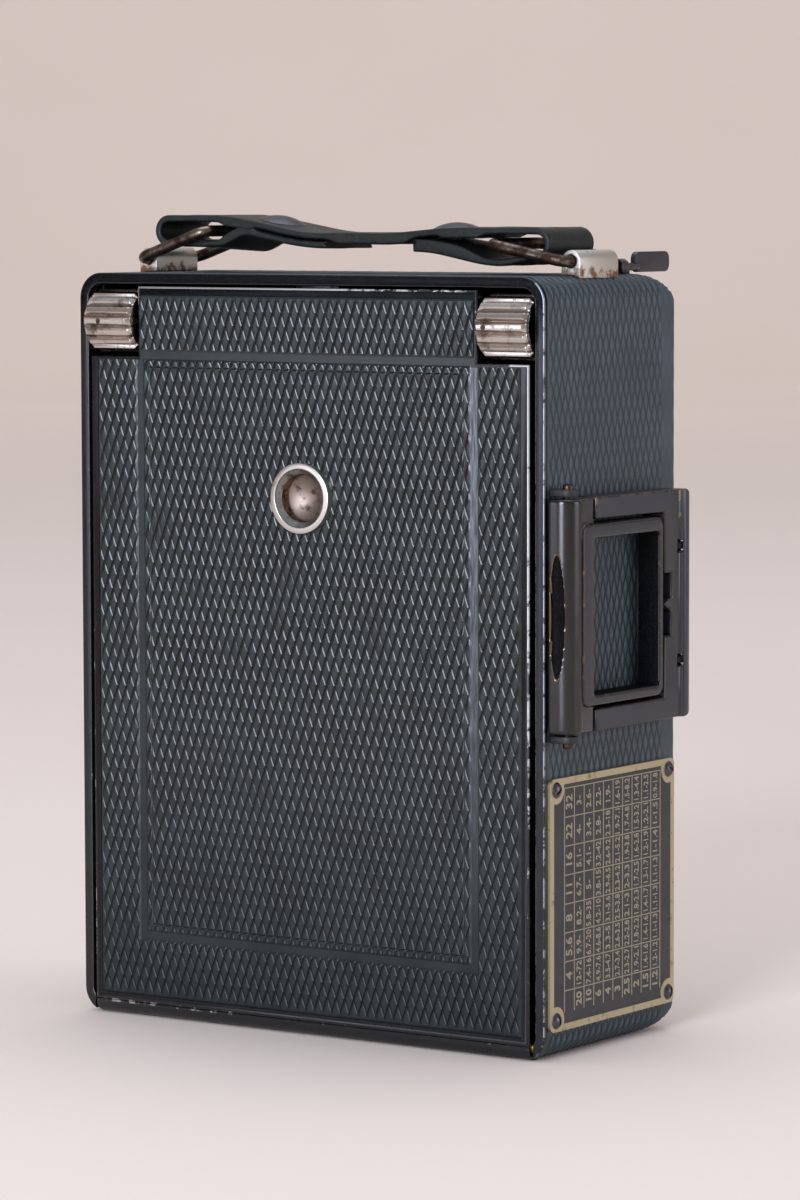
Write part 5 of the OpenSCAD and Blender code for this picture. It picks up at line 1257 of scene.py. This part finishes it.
def grained_leather(name, colour, dusty, shine, grain_mm):
    """Thick strap leather with creases, rubbed dusty where it is high."""
    material, tree = new_material(name)
    coords = add(tree, "ShaderNodeTexCoord")
    grain = noise(tree, coords, grain_mm, 6.0, 0.65)
    crease = add(tree, "ShaderNodeTexVoronoi", {"feature": "DISTANCE_TO_EDGE"}, Vector=(coords, "Object"),
                 Scale=per(2.2 * grain_mm))
    height = calc(tree, "MULTIPLY_ADD", (crease, "Distance"), 0.8, grain)
    tone = tint(tree, mapped(tree, grain, 0.45, 0.75, 0.0, 0.5), colour, dusty)
    bump = add(tree, "ShaderNodeBump", Strength=0.6, Distance=0.12 * MM, Height=height)
    surface(tree, **{"Base Color": tone, "Roughness": shine, "Normal": bump, "IOR": 1.4})
    return material


strap_hide = grained_leather("worn_strap_leather", "#0d1211", "#2a2f2d", 0.5, 0.9)
flap_hide = grained_leather("hood_flap_leather", "#171616", "#2b2928", 0.55, 0.5)
strap_faces = walls(len(strap_line), len(section), "capped")
strap = coat(new_piece("handle_strap_folded", strap_points, strap_faces), strap_hide, 50)
settle(strap, "handle", "leather", "handle_strap")
print("strap faces:", len(strap.data.polygons))

# %% [markdown]
# ## The table plate
# An etched plate on the side gives depth of field for a set of stops and distances. It is made like the real one:
# the brass border is left standing, the field is etched down and filled with dark lacquer, and lines and figures
# stay at the height of the border. The border steps round the four screws. The figures are computed here for a lens
# of 105 mm and a blur of a tenth of a millimetre, and the places for words stay bare.

# %% Plate finishes and outline
plate_low, plate_high = box_mm("table_plate")
PLATE_TOP = plate_high.x
BORDER_W, SCREW_IN, SCREW_STEP_R, CORNER_R = 1.0, 1.7, 2.15, 1.0
FIELD_SUNK, PRINT_SUNK = 0.1, 0.06

plate_brass = aged_metal("pale_worn_brass", "#b9ad8f", "#7d6f57", 0.42, 0.25, 1.5)
plate_lacquer = stoved_enamel("dull_black_lacquer", "#242326", 0.42)
print_cream = stoved_enamel("cream_etched_figures", "#958b74", 0.5)


def rounded_corners(y0, y1, z0, z1, r, steps=6):
    """Outline of a rounded rectangle in the plate's plane."""
    middles = [(y1 - r, z1 - r, 0), (y0 + r, z1 - r, 90), (y0 + r, z0 + r, 180), (y1 - r, z0 + r, 270)]
    return [point for y, z, start in middles for point in arc((y, z), r, start, start + 90, steps)]


def field_outline(y0, y1, z0, z1, steps=8):
    """The field's outline, stepped in round each corner's screw."""
    outline = []
    inset = SCREW_IN - BORDER_W
    reach = math.degrees(math.asin(inset / SCREW_STEP_R))
    for sy, sz, start in ((1, 1, 270), (-1, 1, 0), (-1, -1, 90), (1, -1, 180)):
        y = (y1 if sy > 0 else y0) - sy * inset
        z = (z1 if sz > 0 else z0) - sz * inset
        outline += arc((y, z), SCREW_STEP_R, start + reach, start - 90 - reach, steps)
    return outline


print("plate:", round(plate_high.y - plate_low.y, 1), "x", round(plate_high.z - plate_low.z, 1), "mm")

# %% Plate piece
rim_line = rounded_corners(plate_low.y, plate_high.y, plate_low.z, plate_high.z, CORNER_R)
field_line = field_outline(
    plate_low.y + BORDER_W, plate_high.y - BORDER_W, plate_low.z + BORDER_W, plate_high.z - BORDER_W)
rim_count, field_count = len(rim_line), len(field_line)
plate_points = [(plate_low.x, y, z) for y, z in rim_line] + [(PLATE_TOP, y, z) for y, z in rim_line]
plate_points += [(PLATE_TOP, y, z) for y, z in field_line]
plate_points += [(PLATE_TOP - FIELD_SUNK, y, z) for y, z in field_line]
rim_top, field_top, field_low = rim_count, 2 * rim_count, 2 * rim_count + field_count
plate_faces = [tuple(range(rim_count))[::-1]]
for k in range(rim_count):
    n = (k + 1) % rim_count
    plate_faces.append((k, n, rim_top + n, rim_top + k))
for k in range(field_count):
    n = (k + 1) % field_count
    plate_faces.append((field_top + k, field_top + n, field_low + n, field_low + k))
top_loops = [[Vector((y, z, 0)) for y, z in line] for line in (rim_line, field_line)]
plate_faces += [tuple(rim_top + i for i in face) for face in tessellate_polygon(top_loops)]
border_faces = len(plate_faces)
plate_faces += [tuple(field_low + i for i in face) for face in tessellate_polygon([top_loops[1]])]
plate = new_piece("table_plate_etched", plate_points, plate_faces)
plate_coat = [plate_brass if face.index < border_faces else plate_lacquer for face in plate.data.polygons]
coat(plate, plate_coat)
settle(plate, "body", "table", "table_plate")
print("plate faces:", len(plate.data.polygons))

# %% [markdown]
# The table's figures stand in the direction of the plate's long edge, so they read upwards. A row stands for one
# distance, a column for one stop, and each field gives the near and the far limit in metres. Where there is no far
# limit, the dash stands alone.

# %% Figures of the table
STOPS = [4, 5.6, 8, 11, 16, 22, 32]
DISTANCES = [20, 10, 6, 4, 3, 2.5, 2, 1.5, 1.2]
LENS_M, BLUR_M, FAR_SHARE = 0.105, 0.0001, 0.9
ROW_FROM, ROW_H, HEAD_FROM, HEAD_W, CELL_W = 4.05, 2.76, 2.65, 3.3, 4.4
LINE_MM, PRINT_H = 0.16, 0.04
DIGIT_SHARE, CELL_ROOM = 0.7, 0.5
STOP_PRINT, DISTANCE_PRINT, LIMIT_PRINT = (1.7, 0.03), (1.5, 0.05), (1.3, 0.02)


def short(metres):
    return f"{metres:.1f}".rstrip("0").rstrip(".") if metres < 10 else f"{metres:.0f}"


def limits(stop, metres):
    """Near and far limit of what is sharp, as the table prints them."""
    hyperfocal = LENS_M ** 2 / (stop * BLUR_M) + LENS_M
    near = metres * (hyperfocal - LENS_M) / (hyperfocal + metres - 2 * LENS_M)
    if metres >= FAR_SHARE * hyperfocal:
        return short(near) + "-"
    return short(near) + "-" + short(metres * (hyperfocal - LENS_M) / (hyperfocal - metres))


row_y = [plate_low.y + ROW_FROM + ROW_H * (k + 0.5) for k in range(len(DISTANCES) + 1)]
head_z = plate_low.z + HEAD_FROM
cell_z = [head_z + HEAD_W + CELL_W * k for k in range(len(STOPS) + 1)]
writing = [(short(stop), row_y[0], cell_z[k] + CELL_W / 2, *STOP_PRINT) for k, stop in enumerate(STOPS)]
for k, metres in enumerate(DISTANCES):
    writing.append((short(metres), row_y[k + 1], head_z + HEAD_W / 2, *DISTANCE_PRINT))
    writing += [(limits(stop, metres), row_y[k + 1], cell_z[i] + CELL_W / 2, *LIMIT_PRINT)
                for i, stop in enumerate(STOPS)]

written = []
for k, (words, y, z, high, bold) in enumerate(writing):
    curve = bpy.data.curves.new(f"figure_{k}", "FONT")
    curve.body = words
    curve.size = high / DIGIT_SHARE
    curve.align_x, curve.align_y = "CENTER", "CENTER"
    curve.offset = bold
    curve.extrude = PRINT_H / 2
    curve.resolution_u = 2
    written.append((shown(curve.name, curve), y, z))

print_points, print_faces = [], []
seen = bpy.context.evaluated_depsgraph_get()
print_mid = PLATE_TOP - PRINT_SUNK - PRINT_H / 2
for figure, y, z in written:
    shape = bpy.data.meshes.new_from_object(figure.evaluated_get(seen))
    wide = max(abs(v.co.x) for v in shape.vertices)
    squeeze = min(1.0, (CELL_W - CELL_ROOM) / 2 / wide)
    start = len(print_points)
    print_points += [(print_mid + v.co.z, y - v.co.y, z + v.co.x * squeeze) for v in shape.vertices]
    print_faces += [tuple(start + i for i in face.vertices) for face in shape.polygons]
    bpy.data.meshes.remove(shape)
    bpy.data.objects.remove(figure)


def bar(y0, y1, z0, z1):
    """A thin printed bar on the plate's field."""
    start = len(print_points)
    for x in (print_mid - PRINT_H / 2, print_mid + PRINT_H / 2):
        print_points.extend([(x, y0, z0), (x, y1, z0), (x, y1, z1), (x, y0, z1)])
    for face in ((3, 2, 1, 0), (4, 5, 6, 7), (0, 1, 5, 4), (1, 2, 6, 5), (2, 3, 7, 6), (3, 0, 4, 7)):
        print_faces.append(tuple(start + i for i in face))


table_y0, table_y1 = row_y[0] - ROW_H / 2, row_y[-1] + ROW_H / 2
for k in range(len(row_y) + 1):
    edge = table_y0 + ROW_H * k
    bar(edge - LINE_MM / 2, edge + LINE_MM / 2, head_z, cell_z[-1])
for z in cell_z:
    bar(table_y0, table_y1, z - LINE_MM / 2, z + LINE_MM / 2)
figures = coat(new_piece("table_figures", print_points, print_faces), print_cream)
settle(figures, "body", "table")
softened("table_screws", 0.15, dark_screw, segments=3)
print("figures:", len(writing), "faces:", len(figures.data.polygons))

# %% [markdown]
# ## Pieces that show when the camera is opened
# Behind the bed and under the back lie the drive, the lens and the bellows. Their solids are right, so they get the
# rounded edges and the finish of what they are made of.

# %% Finish the remaining solids
def glass(name, colour, shine):
    """Clear glass, or ground glass where shine is rough."""
    material, tree = new_material(name)
    surface(tree, **{"Base Color": linear(colour), "Roughness": shine, "Transmission Weight": 1.0, "IOR": 1.52})
    return material


lens_glass = glass("polished_lens_glass", "#f1f6f4", 0.02)
screen_glass = glass("ground_focusing_glass", "#e9efec", 0.45)
softened("front_lens", 0.05, lens_glass)
softened("ground_glass", 0.05, screen_glass)
INNER_EDGE = 0.08
FINISH_OF_SLOT = {
    "enamel": inner_enamel, "leather": flap_hide, "nickel": bush_nickel, "brass": aged_brass,
    "steel": spring_steel, "table": plate_brass, "cloth": flap_hide, "glass": lens_glass,
}
softened("bed_spring", INNER_EDGE, dark_screw)
for name, solid in list(frame["nodes"].items()):
    if not solid.hide_render:
        softened(name, INNER_EDGE, FINISH_OF_SLOT[SLOT_OF[name]])
print("remaining solids finished")
